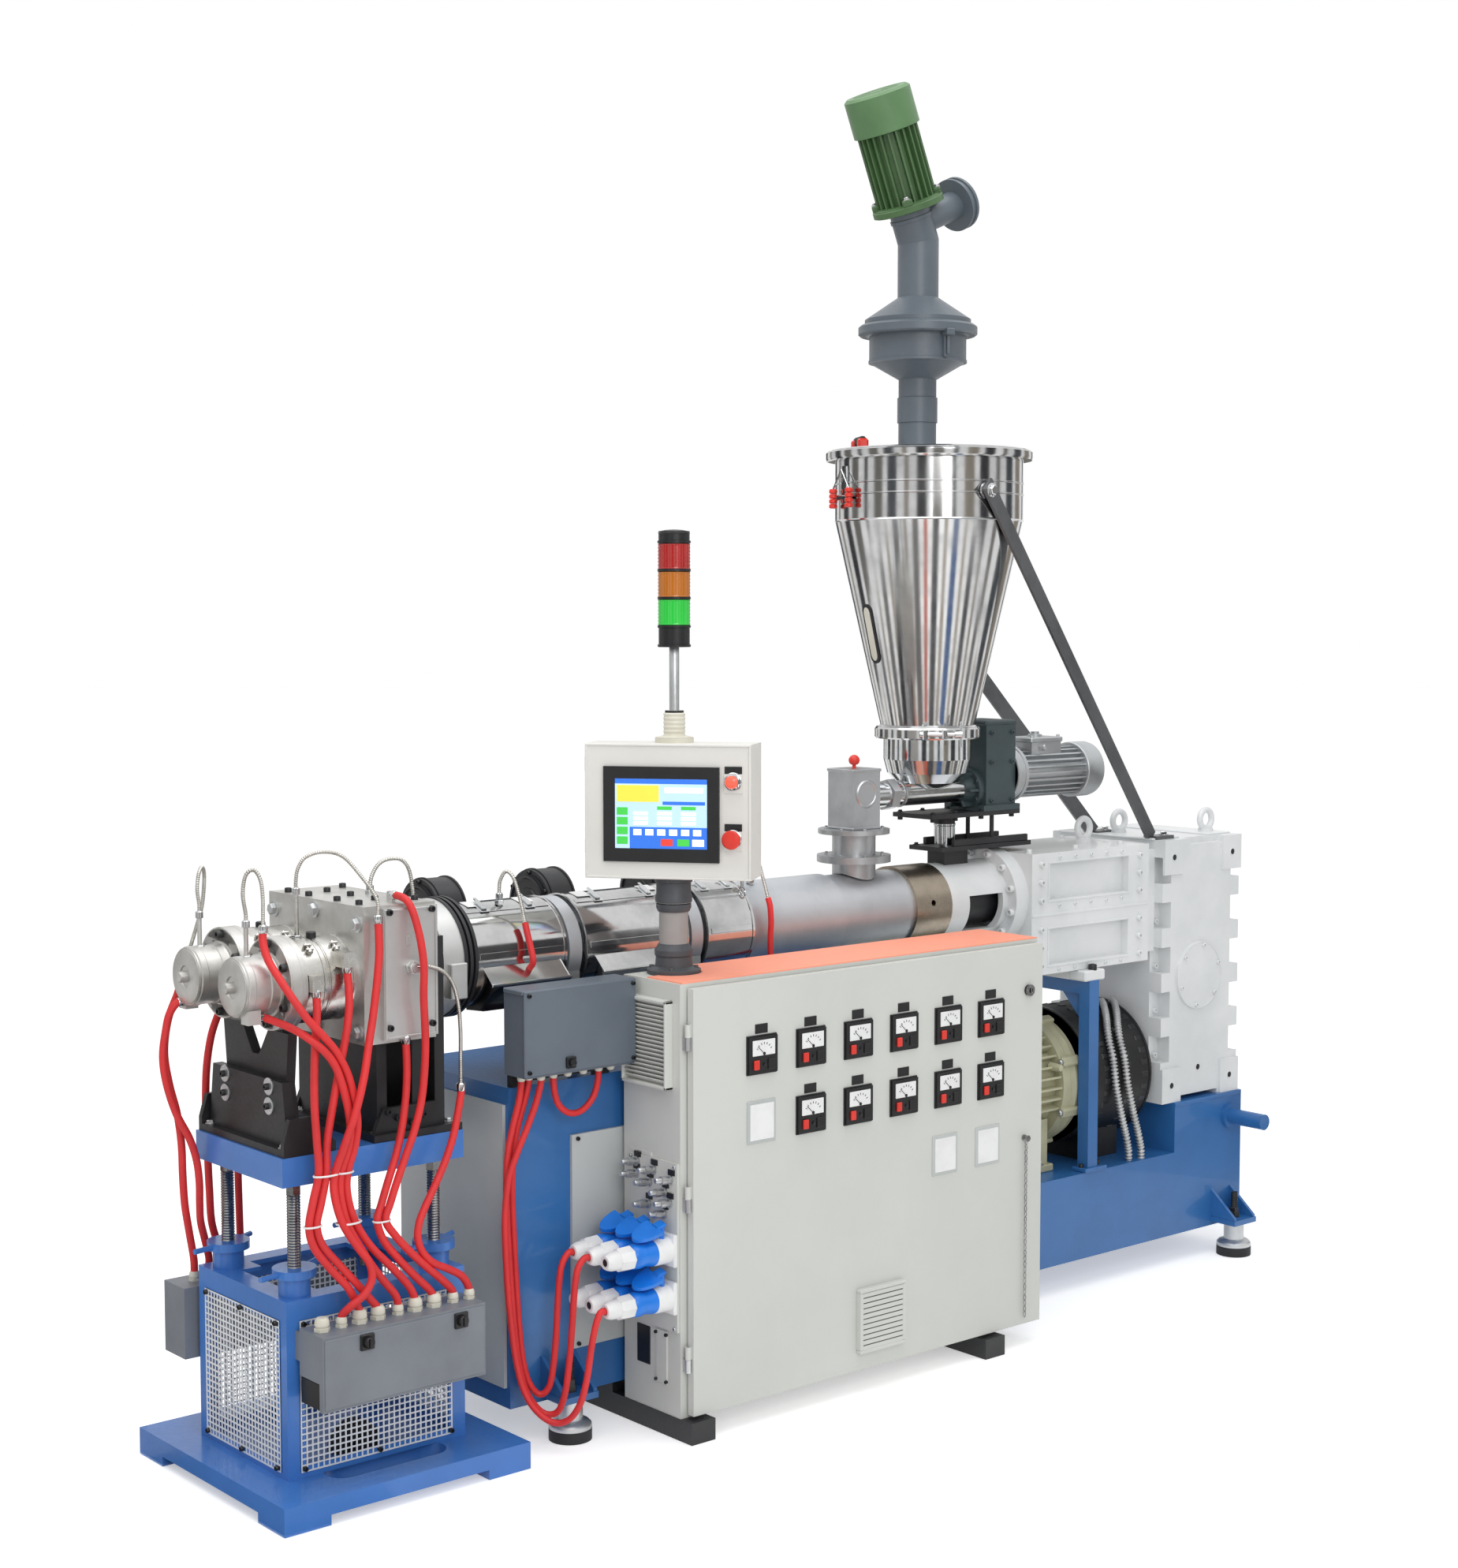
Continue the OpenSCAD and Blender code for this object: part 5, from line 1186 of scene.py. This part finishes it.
piece("feed_chute_fittings", bm, "throat_steel")

bm = bmesh.new()
lathe(bm, (CHUTE_X, 0, 1479), UP,
      [(0, 5), (10, 5), (11, 9), (15, 13), (22, 15), (29, 13), (34, 8), (36, 3)], 24)
piece("chute_knob", bm, "red_plastic")

# %% [markdown]
# The feeder's gearbox carries a ribbed bearing flange, and its motor is bare aluminium with a
# bolted connection box. Ribs are one block, turned about the axis in equal steps.

# %% Feeder gearbox, plates and motor
bm = bmesh.new()
lathe(bm, (2015, 0, FEED_Z), TO_DIE, [(-1, 60), (12, 60), (15, 56), (15, 42), (46, 36), (50, 30)], 40)
for k in range(6):
    spin = Matrix.Translation((0, 0, FEED_Z)) @ Matrix.Rotation(math.tau * k / 6, 4, "X")
    block(bm, (1968, 24, -4), (2004, 54, 4), 1.5, spin)
circle(bm, cap_screw, (2003, 0, FEED_Z), TO_DIE, 50, 6, 30, 7)
block(bm, (2012, -69, 1580), (2134, 69, 1594), 4)
grid(bm, cap_screw, (2034, 2114), (-66,), (1376, 1480, 1560), FRONT, 7)
piece("feeder_castings", bm, "feeder_coat")

bm = bmesh.new()
for x in (1815, 1900, 2000, 2120):
    for y in (-62, 62):
        hex_bolt(bm, (x, y, 1349), UP, 7)
        lathe(bm, (x, y, 1337), DOWN, [(-1, 8), (8, 8), (9, 6)], 6)
grid(bm, hex_bolt, (1865, 1960, 2080, 2180), (-50, 50), (1258,), UP, 7)
block(bm, (1900, -60, 1258), (2190, -48, 1276), 1.5)
block(bm, (1900, 48, 1258), (2190, 60, 1276), 1.5)
piece("feeder_plate_hardware", bm, "satin_black")

bm = bmesh.new()
lathe(bm, (1923, 0, 1258), UP, [(-2, 28.5), (52, 28.5), (54, 30), (58, 30), (60, 28.5)], 32)
piece("feeder_pillar_sleeve", bm, "chrome")

bm = bmesh.new()
for x0 in (2130, 2160):
    lathe(bm, (x0, 0, 1442), TO_DRIVE, bead(76, 80, 13), 48)
lathe(bm, (2490, 0, 1442), TO_DRIVE, [(-68, 76), (-66, 78), (-8, 78), (0, 70), (2, 30)], 48)
block(bm, (2215, -48, 1526), (2345, 48, 1540), 3)
grid(bm, cap_screw, (2226, 2334), (-38, 38), (1540,), UP, 6)
gland(bm, (2260, -44, 1512), FRONT, 8)
lathe(bm, (2280, 0, 1540), UP, [(0, 20), (6, 20), (8, 12), (14, 12)], 20)
piece("feeder_motor_fittings", bm, "motor_alu")

# %% [markdown]
# ## Loader
# The loader sucks granules up through its pipe. A rolled ring with a latch joins the two halves of
# the filter, the green motor leans above, and its fan hood has a round grille of parallel
# slots. The hardware on the motor is placed in a frame that leans with it.

# %% Loader ring, motor flange and hood
LOADER_X = 1810
ELBOW_Z = LID_Z + 544
lean = Matrix.Translation((LOADER_X, 0, ELBOW_Z)) @ Matrix.Rotation(math.radians(-23), 4, "Y")
up = lean.to_3x3() @ Vector(UP)
bm = bmesh.new()
lathe(bm, (LOADER_X, 0, LID_Z + 298), UP, [(0, 130), (0, 152), (4, 157), (22, 157), (28, 150), (30, 142)], 80)
lathe(bm, (LOADER_X, 0, LID_Z + 70), UP, [(0, 50), (1, 53), (66, 53), (68, 50)], 48)
lathe(bm, (LOADER_X, 0, LID_Z + 226), UP, bead(127, 130, 9), 64)
lathe(bm, lean @ Vector((160, 0, 50)), lean.to_3x3() @ Vector(TO_DRIVE),
      [(0, 64), (1, 70), (8, 70), (9, 66), (18, 66), (19, 70), (27, 70), (28, 40)], 48)
lathe(bm, lean @ Vector((0, 0, 60)), up, bead(54, 57, 11), 48)
latch = Matrix.Translation((LOADER_X, 0, LID_Z + 270)) @ Matrix.Rotation(math.radians(258), 4, "Z")
block(bm, (126, -7, -38), (140, 7, 26), 2, latch)
block(bm, (132, -12, 16), (162, 12, 34), 3, latch)
lathe(bm, latch @ Vector((146, 0, -30)), UP, [(0, 4), (50, 4), (52, 7), (60, 7)], 12)
piece("loader_rings", bm, "loader_coat")

bm = bmesh.new()
lathe(bm, lean @ Vector((0, 0, 88)), up, [(0, 90), (2, 95), (16, 95), (20, 90), (24, 76)], 56)
LUGS = [lean @ Matrix.Rotation(math.radians(45 + 90 * k), 4, "Z") for k in range(4)]
for spin in LUGS:
    block(bm, (60, -14, 104), (93, 14, 124), 4, spin)
piece("loader_motor_castings", bm, "motor_green")

finish("hood_green", "#587d52", "#4d6f48", 0.44, 7.0, 130, 0.2)
bm = bmesh.new()
lathe(bm, lean @ Vector((0, 0, 391)), up, [(-94, 83), (-92, 88), (2, 88), (9, 80), (9, 62), (5, 60)], 56)
for k in range(-5, 6):
    half = math.sqrt(60 ** 2 - (10 * k) ** 2)
    block(bm, (10 * k - 3, -half, 394), (10 * k + 3, half, 400), 1, lean)
lathe(bm, lean @ Vector((0, 0, 395)), up, [(0, 18), (5, 18), (6, 15)], 24)
piece("loader_motor_hood", bm, "hood_green")

bm = bmesh.new()
for spin in LUGS:
    hex_bolt(bm, spin @ Vector((84, 0, 124)), up, 7)
piece("loader_motor_bolts", bm, "zinc_plate")

# %% [markdown]
# ## Cabinet
# Eleven meters look out of the door. Each has a white dial with a scale and a needle above, a red
# rocker switch below and a blank tag over it. Everything on the door rides with the door, so
# that it swings along when the hinge turns.

# %% Dials, rockers and tags of the meters
DOOR_Y = -427
FACE_Y = DOOR_Y - 9
METERS = [(848 + 153 * i, 826) for i in range(6)] + [(848 + 153 * i, 667) for i in range(1, 6)]
dials, marks, rockers, rims = bmesh.new(), bmesh.new(), bmesh.new(), bmesh.new()
for x, z in METERS:
    block(dials, (x + 9, FACE_Y - 2, z + 42), (x + 77, FACE_Y + 1, z + 78), 0.8)
    for k in range(7):
        turn = math.radians(150 - 20 * k)
        spin = Matrix.Translation((x + 43, FACE_Y - 2, z + 46)) @ Matrix.Rotation(math.pi / 2 - turn, 4, "Y")
        block(marks, (-0.7, -0.8, 22), (0.7, 0.5, 27), 0.2, spin)
    spin = Matrix.Translation((x + 43, FACE_Y - 2, z + 46)) @ Matrix.Rotation(math.radians(-48), 4, "Y")
    block(marks, (-0.6, -1.2, 0), (0.6, 0.5, 26), 0.2, spin)
    lathe(marks, (x + 43, FACE_Y - 1.5, z + 46), FRONT, [(0, 4), (1.5, 4), (2, 3)], 16)
    block(rockers, (x + 12, FACE_Y - 5, z + 10), (x + 28, FACE_Y + 1, z + 32), 1.5)
    block(rims, (x - 3, DOOR_Y - 4, z - 3), (x + 89, DOOR_Y + 1, z + 89), 1.2)
    lathe(rims, (x + 46, FACE_Y + 1, z + 21), FRONT, [(0, 4), (3, 4), (3.5, 2)], 12)
    block(rims, (x + 56, FACE_Y - 3, z + 8), (x + 76, FACE_Y + 1, z + 32), 1)
    block(rims, (x + 24, DOOR_Y - 2, z + 92), (x + 62, DOOR_Y + 1, z + 114), 0.8)
piece("meter_dials", dials, "white_plastic", "door")
piece("meter_marks", marks, "black_plastic", "door")
piece("meter_rockers", rockers, "red_plastic", "door")
piece("meter_rims", rims, "black_plastic", "door")

# %% [markdown]
# Three blank plates close spare cut-outs, a lock sits near the free edge, a short chain hangs
# from a hook below it, and a ventilation grille lies low in the middle. Chain links are
# stretched rings, every second one turned a quarter.

# %% Plates, lock, grille and chain on the door
SPARES = [(891, 712), (1495, 545), (1648, 545)]
bm = bmesh.new()
for x, z in SPARES:
    block(bm, (x - 44, DOOR_Y - 3, z - 50), (x + 44, DOOR_Y + 1, z + 50), 1.5)
piece("blank_plate_rims", bm, "panel_coat", "door")

bm = bmesh.new()
for x, z in SPARES:
    block(bm, (x - 36, DOOR_Y - 5, z - 42), (x + 36, DOOR_Y - 2, z + 42), 1)
piece("blank_plates", bm, "white_plastic", "door")

bm = bmesh.new()
for x0, z0, x1, z1 in [(1196, 101, 1349, 110), (1196, 250, 1349, 259),
                       (1196, 110, 1206, 250), (1339, 110, 1349, 250)]:
    block(bm, (x0, DOOR_Y - 17, z0), (x1, DOOR_Y + 1, z1), 2)
for k in range(11):
    block(bm, (1205, DOOR_Y - 15.5, 109.5 + 12.9 * k), (1340, DOOR_Y - 11, 120 + 12.9 * k), 1.2)
piece("door_grille", bm, "cabinet_coat", "door")

bm = bmesh.new()
lathe(bm, (1783, DOOR_Y, 545), FRONT, [(-1, 8), (6, 8), (7, 5), (14, 5), (15, 8), (17, 8)], 14)
for k in range(32):
    across = TO_DRIVE if k % 2 else BACK
    ring(bm, (1783, DOOR_Y - 9, 536 - 14.5 * k), across, UP, 3.5, 8.6, 1.3)
lathe(bm, (1795, DOOR_Y - 7, 925), FRONT, [(0, 15), (3, 15), (4, 12), (4, 8), (2, 7)], 24)
block(bm, (1793, DOOR_Y - 13, 917), (1797, DOOR_Y - 9, 933), 0.8)
piece("door_chain_and_lock", bm, "screw_steel", "door")

# %% [markdown]
# The left side of the cabinet has a ventilation hood, a cable slot drawn as a black plate, which is
# painted shade for the opening, and a cover plate. Each slat of the hood is a thin block, leaning a
# little, so that light falls between them.

# %% Ventilation hood and lower openings
bm = bmesh.new()
block(bm, (648, -376, 806), (671, -211, 814), 2)
block(bm, (648, -376, 1002), (671, -211, 1010), 2)
for y in (-376, -219):
    block(bm, (648, y, 806), (671, y + 8, 1010), 2)
block(bm, (667, -374, 812), (671, -214, 1004), 1)
for k in range(19):
    slat = Matrix.Translation((660, -293, 820 + 9.8 * k)) @ Matrix.Rotation(math.radians(42), 4, "Y")
    block(bm, (-10, -78, -1.2), (10, 78, 1.2), 0.5, slat)
block(bm, (666, -357, 119), (671, -317, 243), 1.5)
block(bm, (667, -300, 640), (671, -220, 650), 1)
piece("cabinet_side_fittings", bm, "cabinet_coat")

# The black plate stands for the cable slot as painted shade; the cover plate's screws are black too.
bm = bmesh.new()
block(bm, (668, -292, 150), (671, -244, 240), 1)
grid(bm, cap_screw, (666,), (-356, -319), (126, 236), TO_DIE, 5)
piece("cable_slot_shade_and_cover_screws", bm, "black_plastic")

# %% [markdown]
# The socket plate holds nine small round connectors and six large blue plugs. The plugs have white
# shells and gland nuts, and a hinged lid stands open on each socket. White, blue and black parts
# are gathered in three meshes while one loop walks over the sockets.

# %% Connectors and plugs
CONNECTORS = [(-251, 622), (-248, 593), (-313, 613), (-298, 582), (-375, 600), (-354, 568), (-294, 531),
              (-371, 546), (-352, 518)]
PLUG_SPOTS = [(y, z) for y in (-370, -310, -250) for z in (330, 440)]
bm = bmesh.new()
for y, z in CONNECTORS:
    lathe(bm, (664, y, z), (-1, 0, 0.1),
          [(-1, 11), (4, 11), (5, 8), (14, 8), (15, 10), (30, 10), (31, 7), (44, 6.5), (46, 5)], 16)
grid(bm, cap_screw, (664,), (-390, -230), (258, 632), TO_DIE, 5)
piece("connectors", bm, "zinc_plate")

bm = bmesh.new()
for y, z in CONNECTORS:
    block(bm, (661, y - 15, z + 11), (665, y + 8, z + 24), 0.8)
piece("connector_tags", bm, "black_plastic")

shells, lids, seals = bmesh.new(), bmesh.new(), bmesh.new()
for y, z in PLUG_SPOTS:
    block(shells, (654, y - 30, z - 38), (665, y + 30, z + 38), 3)
    lathe(shells, (656, y, z), TO_DIE, [(0, 31), (40, 31), (44, 30), (46, 28)], 32)
    lathe(shells, (552, y, z), TO_DIE, [(0, 25), (4, 28), (36, 27), (40, 24)], 8)
    lathe(shells, (514, y, z), TO_DIE, [(0, 22), (22, 21), (30, 18), (35, 15), (35, 9), (28, 8.6)], 24)
    lathe(lids, (614, y, z), TO_DIE, [(0, 29), (4, 30), (10, 30), (28, 26), (46, 29), (60, 28), (64, 25)], 32)
    flap = (Matrix.Translation((626, y, z + 54)) @ Matrix.Rotation(math.radians(-16), 4, "Y")
            @ Matrix.Rotation(math.radians(20), 4, "X"))
    outline = [(-4 - 66 * math.sin(math.pi * k / 14), 28 * math.cos(math.pi * k / 14)) for k in range(15)]
    slab(lids, [flap @ Vector((u, v, 0)) for u, v in outline], flap.to_3x3() @ Vector((0, 0, 9)))
    block(lids, (-10, -12, 0), (22, 12, 9), 3, flap)
    block(lids, (632, y - 10, z + 26), (644, y + 10, z + 58), 3)
    lathe(seals, (487, y, z), TO_DIE, [(0, 9), (6.5, 8.9), (7.5, 8)], 16)
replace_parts(piece("plug_shells", shells, "white_plastic"), "plugs")
piece("plug_lids", lids, "plug_blue")
piece("plug_seals", seals, "black_rubber")

# %% [markdown]
# ## Operator panel
# The panel stands on a post with two dark collars and swivels with its lamp tower. Its screen shows a
# plain layout of fields in the colours of the picture. Pieces here are drawn in the panel's own
# upright frame and turned with it.

# %% Screen
SCREEN_COLOURS = [("sky", "#b4d3ec", "#a8cae6"), ("blue", "#2f6fd6", "#2a66c8"),
                  ("white", "#f0f3f4", "#e4eaee"), ("green", "#43c24a", "#3bb443"),
                  ("yellow", "#f0d24a", "#e6c741"), ("red", "#dc4034", "#cc362b")]
for name, fresh, worn in SCREEN_COLOURS:
    finish("screen_" + name, fresh, worn, 0.25, 3.0, 600, 0.0, glow=0.5)
POST = (771, -255, 0)
panel_turn = Matrix.Translation(POST) @ Matrix.Rotation(math.radians(-52), 4, "Z")
BEZEL_Y = -68
SCREEN = (-122, 94, 1346, 1506)


def screen_cells(name, coat, cells, lift):
    """Flat fields of the screen, given as shares of its width and height."""
    x0, x1, z0, z1 = SCREEN
    bm = bmesh.new()
    for a, b, c, d in cells:
        low = (x0 + (x1 - x0) * a, BEZEL_Y - lift, z0 + (z1 - z0) * b)
        high = (x0 + (x1 - x0) * c, BEZEL_Y + 1, z0 + (z1 - z0) * d)
        block(bm, low, high, 0.4, panel_turn)
    piece(name, bm, coat, "panel")


screen_cells("screen_ground", "screen_sky", [(0, 0, 1, 1)], 1.0)
bars = [(0, 0.93, 1, 1), (0.16, 0, 1, 0.31), (0.52, 0.63, 0.98, 0.68)]
screen_cells("screen_bars", "screen_blue", bars, 1.4)
values = [(0.20 + 0.26 * k, 0.34 + 0.07 * row, 0.36 + 0.26 * k, 0.39 + 0.07 * row)
          for k in range(3) for row in range(3)]
keys = [(0.20 + 0.13 * k, 0.19, 0.29 + 0.13 * k, 0.28) for k in range(6)]
keys += [(0.54, 0.80, 0.96, 0.88), (0.84, 0.04, 0.97, 0.14)]
screen_cells("screen_values", "screen_white", values + keys, 1.8)
states = [(0.02, 0.06 + 0.14 * row, 0.14, 0.17 + 0.14 * row) for row in range(4)]
states += [(0.46, 0.56, 0.62, 0.61), (0.72, 0.56, 0.88, 0.61), (0.68, 0.04, 0.81, 0.14)]
screen_cells("screen_states", "screen_green", states, 1.8)
screen_cells("screen_notice", "screen_yellow", [(0.02, 0.67, 0.48, 0.91)], 1.8)
screen_cells("screen_stop_key", "screen_red", [(0.50, 0.04, 0.63, 0.14)], 1.8)

# %% [markdown]
# A red push button and a lit lamp sit in chrome collars beside the screen. The lamp's finish gives
# off a little light, which reads as lit without a lamp inside.

# %% Case edge, button and lamp
bm = bmesh.new()
for x0, x1, z0, z1 in [(-195, 195, 1275, 1281), (-195, 195, 1580, 1586),
                       (-195, -189, 1281, 1580), (189, 195, 1281, 1580)]:
    block(bm, (x0, -63, z0), (x1, -58, z1), 1.5, panel_turn)
for z in (1330, 1520):
    block(bm, (-199, -50, z), (-194, -36, z + 34), 1.5, panel_turn)
for z in (1344, 1475):
    block(bm, (132.5, -64.5, z), (175.5, -60, z + 44), 0.8, panel_turn)
piece("panel_case_edge", bm, "case_coat", "panel")

bm = bmesh.new()
toward = panel_turn.to_3x3() @ Vector(FRONT)
lathe(bm, panel_turn @ Vector((154, -81, 1371)), toward,
      [(0, 13), (2, 21), (8, 22), (12, 19), (14, 12), (14.5, 4)], 28)
piece("panel_buttons", bm, "red_plastic", "panel")

finish("lamp_lit", "#ff5a45", "#f54a38", 0.25, 9.0, 300, 0.0, coat=0.3, glow=0.7)
bm = bmesh.new()
lathe(bm, panel_turn @ Vector((154, -81, 1502)), toward, [(0, 14), (4, 15), (9, 13), (12, 8), (13, 3)], 28)
piece("panel_lamp", bm, "lamp_lit", "panel")

bm = bmesh.new()
for z in (1371, 1502):
    lathe(bm, panel_turn @ Vector((154, -60, z)), toward, [(0, 21), (6, 21), (8, 18)], 28)
lathe(bm, panel_turn @ Vector((160, 10, 1275)), DOWN, [(-1, 9), (6, 9), (7, 4), (22, 4)], 16)
ring(bm, panel_turn @ Vector((160, 10, 1240)), BACK, UP, 11, 13, 1.5)
piece("panel_button_collars", bm, "chrome", "panel")

# %% [markdown]
# The lamp tower has a ribbed ivory foot, a steel tube and three lenses between black rings. The
# green lens is lit, so it gets a little light of its own.

# %% Lamp tower and post
finish("lens_green", "#22b83a", "#1ca533", 0.22, 10.0, 300, 0.05, coat=0.5, glow=0.25)
finish("lens_amber", "#bd6c12", "#ab600f", 0.22, 10.0, 300, 0.05, coat=0.5)
finish("lens_red", "#ab1c18", "#981713", 0.22, 10.0, 300, 0.05, coat=0.5)
TOWER = panel_turn @ Vector((0, 10, 0))
ribs = [(4 * k, 36.4 if k % 2 else 37.6) for k in range(15)]
for name, z in [("green", 1858), ("amber", 1922), ("red", 1986)]:
    bm = bmesh.new()
    lathe(bm, TOWER + Vector((0, 0, z)), UP, [(-2, 34)] + ribs + [(58, 34)], 40)
    piece("tower_lens_" + name, bm, "lens_" + name, "panel")

bm = bmesh.new()
for z in (1806, 1850, 1915, 1979, 2044):
    lathe(bm, TOWER + Vector((0, 0, z)), UP, bead(36, 38.5, 7), 40)
lathe(bm, TOWER + Vector((0, 0, 2066)), UP, [(0, 36), (2, 37), (6, 34), (9, 20), (10, 6)], 40)
piece("tower_rings", bm, "black_plastic", "panel")

bm = bmesh.new()
folds = [(16 + 5 * k, 24 if k % 2 else 26) for k in range(11)]
lathe(bm, TOWER + Vector((0, 0, 1586)), UP, [(-1, 45), (11, 45), (14, 40)] + folds + [(74, 16)], 32)
piece("tower_foot", bm, "ivory_plastic", "panel")

bm = bmesh.new()
lathe(bm, TOWER + Vector((0, 0, 1659)), UP, [(0, 11.6), (146, 11.6), (147, 11)], 28)
piece("tower_tube", bm, "zinc_plate", "panel")

bm = bmesh.new()
lathe(bm, POST, UP, [(1118, 31), (1119, 34), (1198, 34), (1199, 31)], 40)
piece("post_tube", bm, "pole_coat")

bm = bmesh.new()
lathe(bm, POST, UP, [(1049, 60), (1052, 63), (1060, 63), (1063, 58), (1068, 44), (1090, 42), (1094, 45),
                     (1106, 45), (1112, 40), (1120, 36), (1121, 31)], 48)
lathe(bm, POST, UP, [(1194, 31), (1195, 37), (1204, 41), (1213, 41), (1214, 31)], 48)
circle(bm, cap_screw, (POST[0], POST[1], 1062), UP, 52, 4, 45, 7)
piece("post_collars", bm, "post_coat")

bm = bmesh.new()
lathe(bm, POST, UP, [(1216, 40), (1217, 43), (1232, 43), (1236, 40.5),
                     (1262, 40.5), (1264, 44), (1275, 44), (1276, 40)], 48)
piece("panel_swivel_collar", bm, "post_coat", "panel")
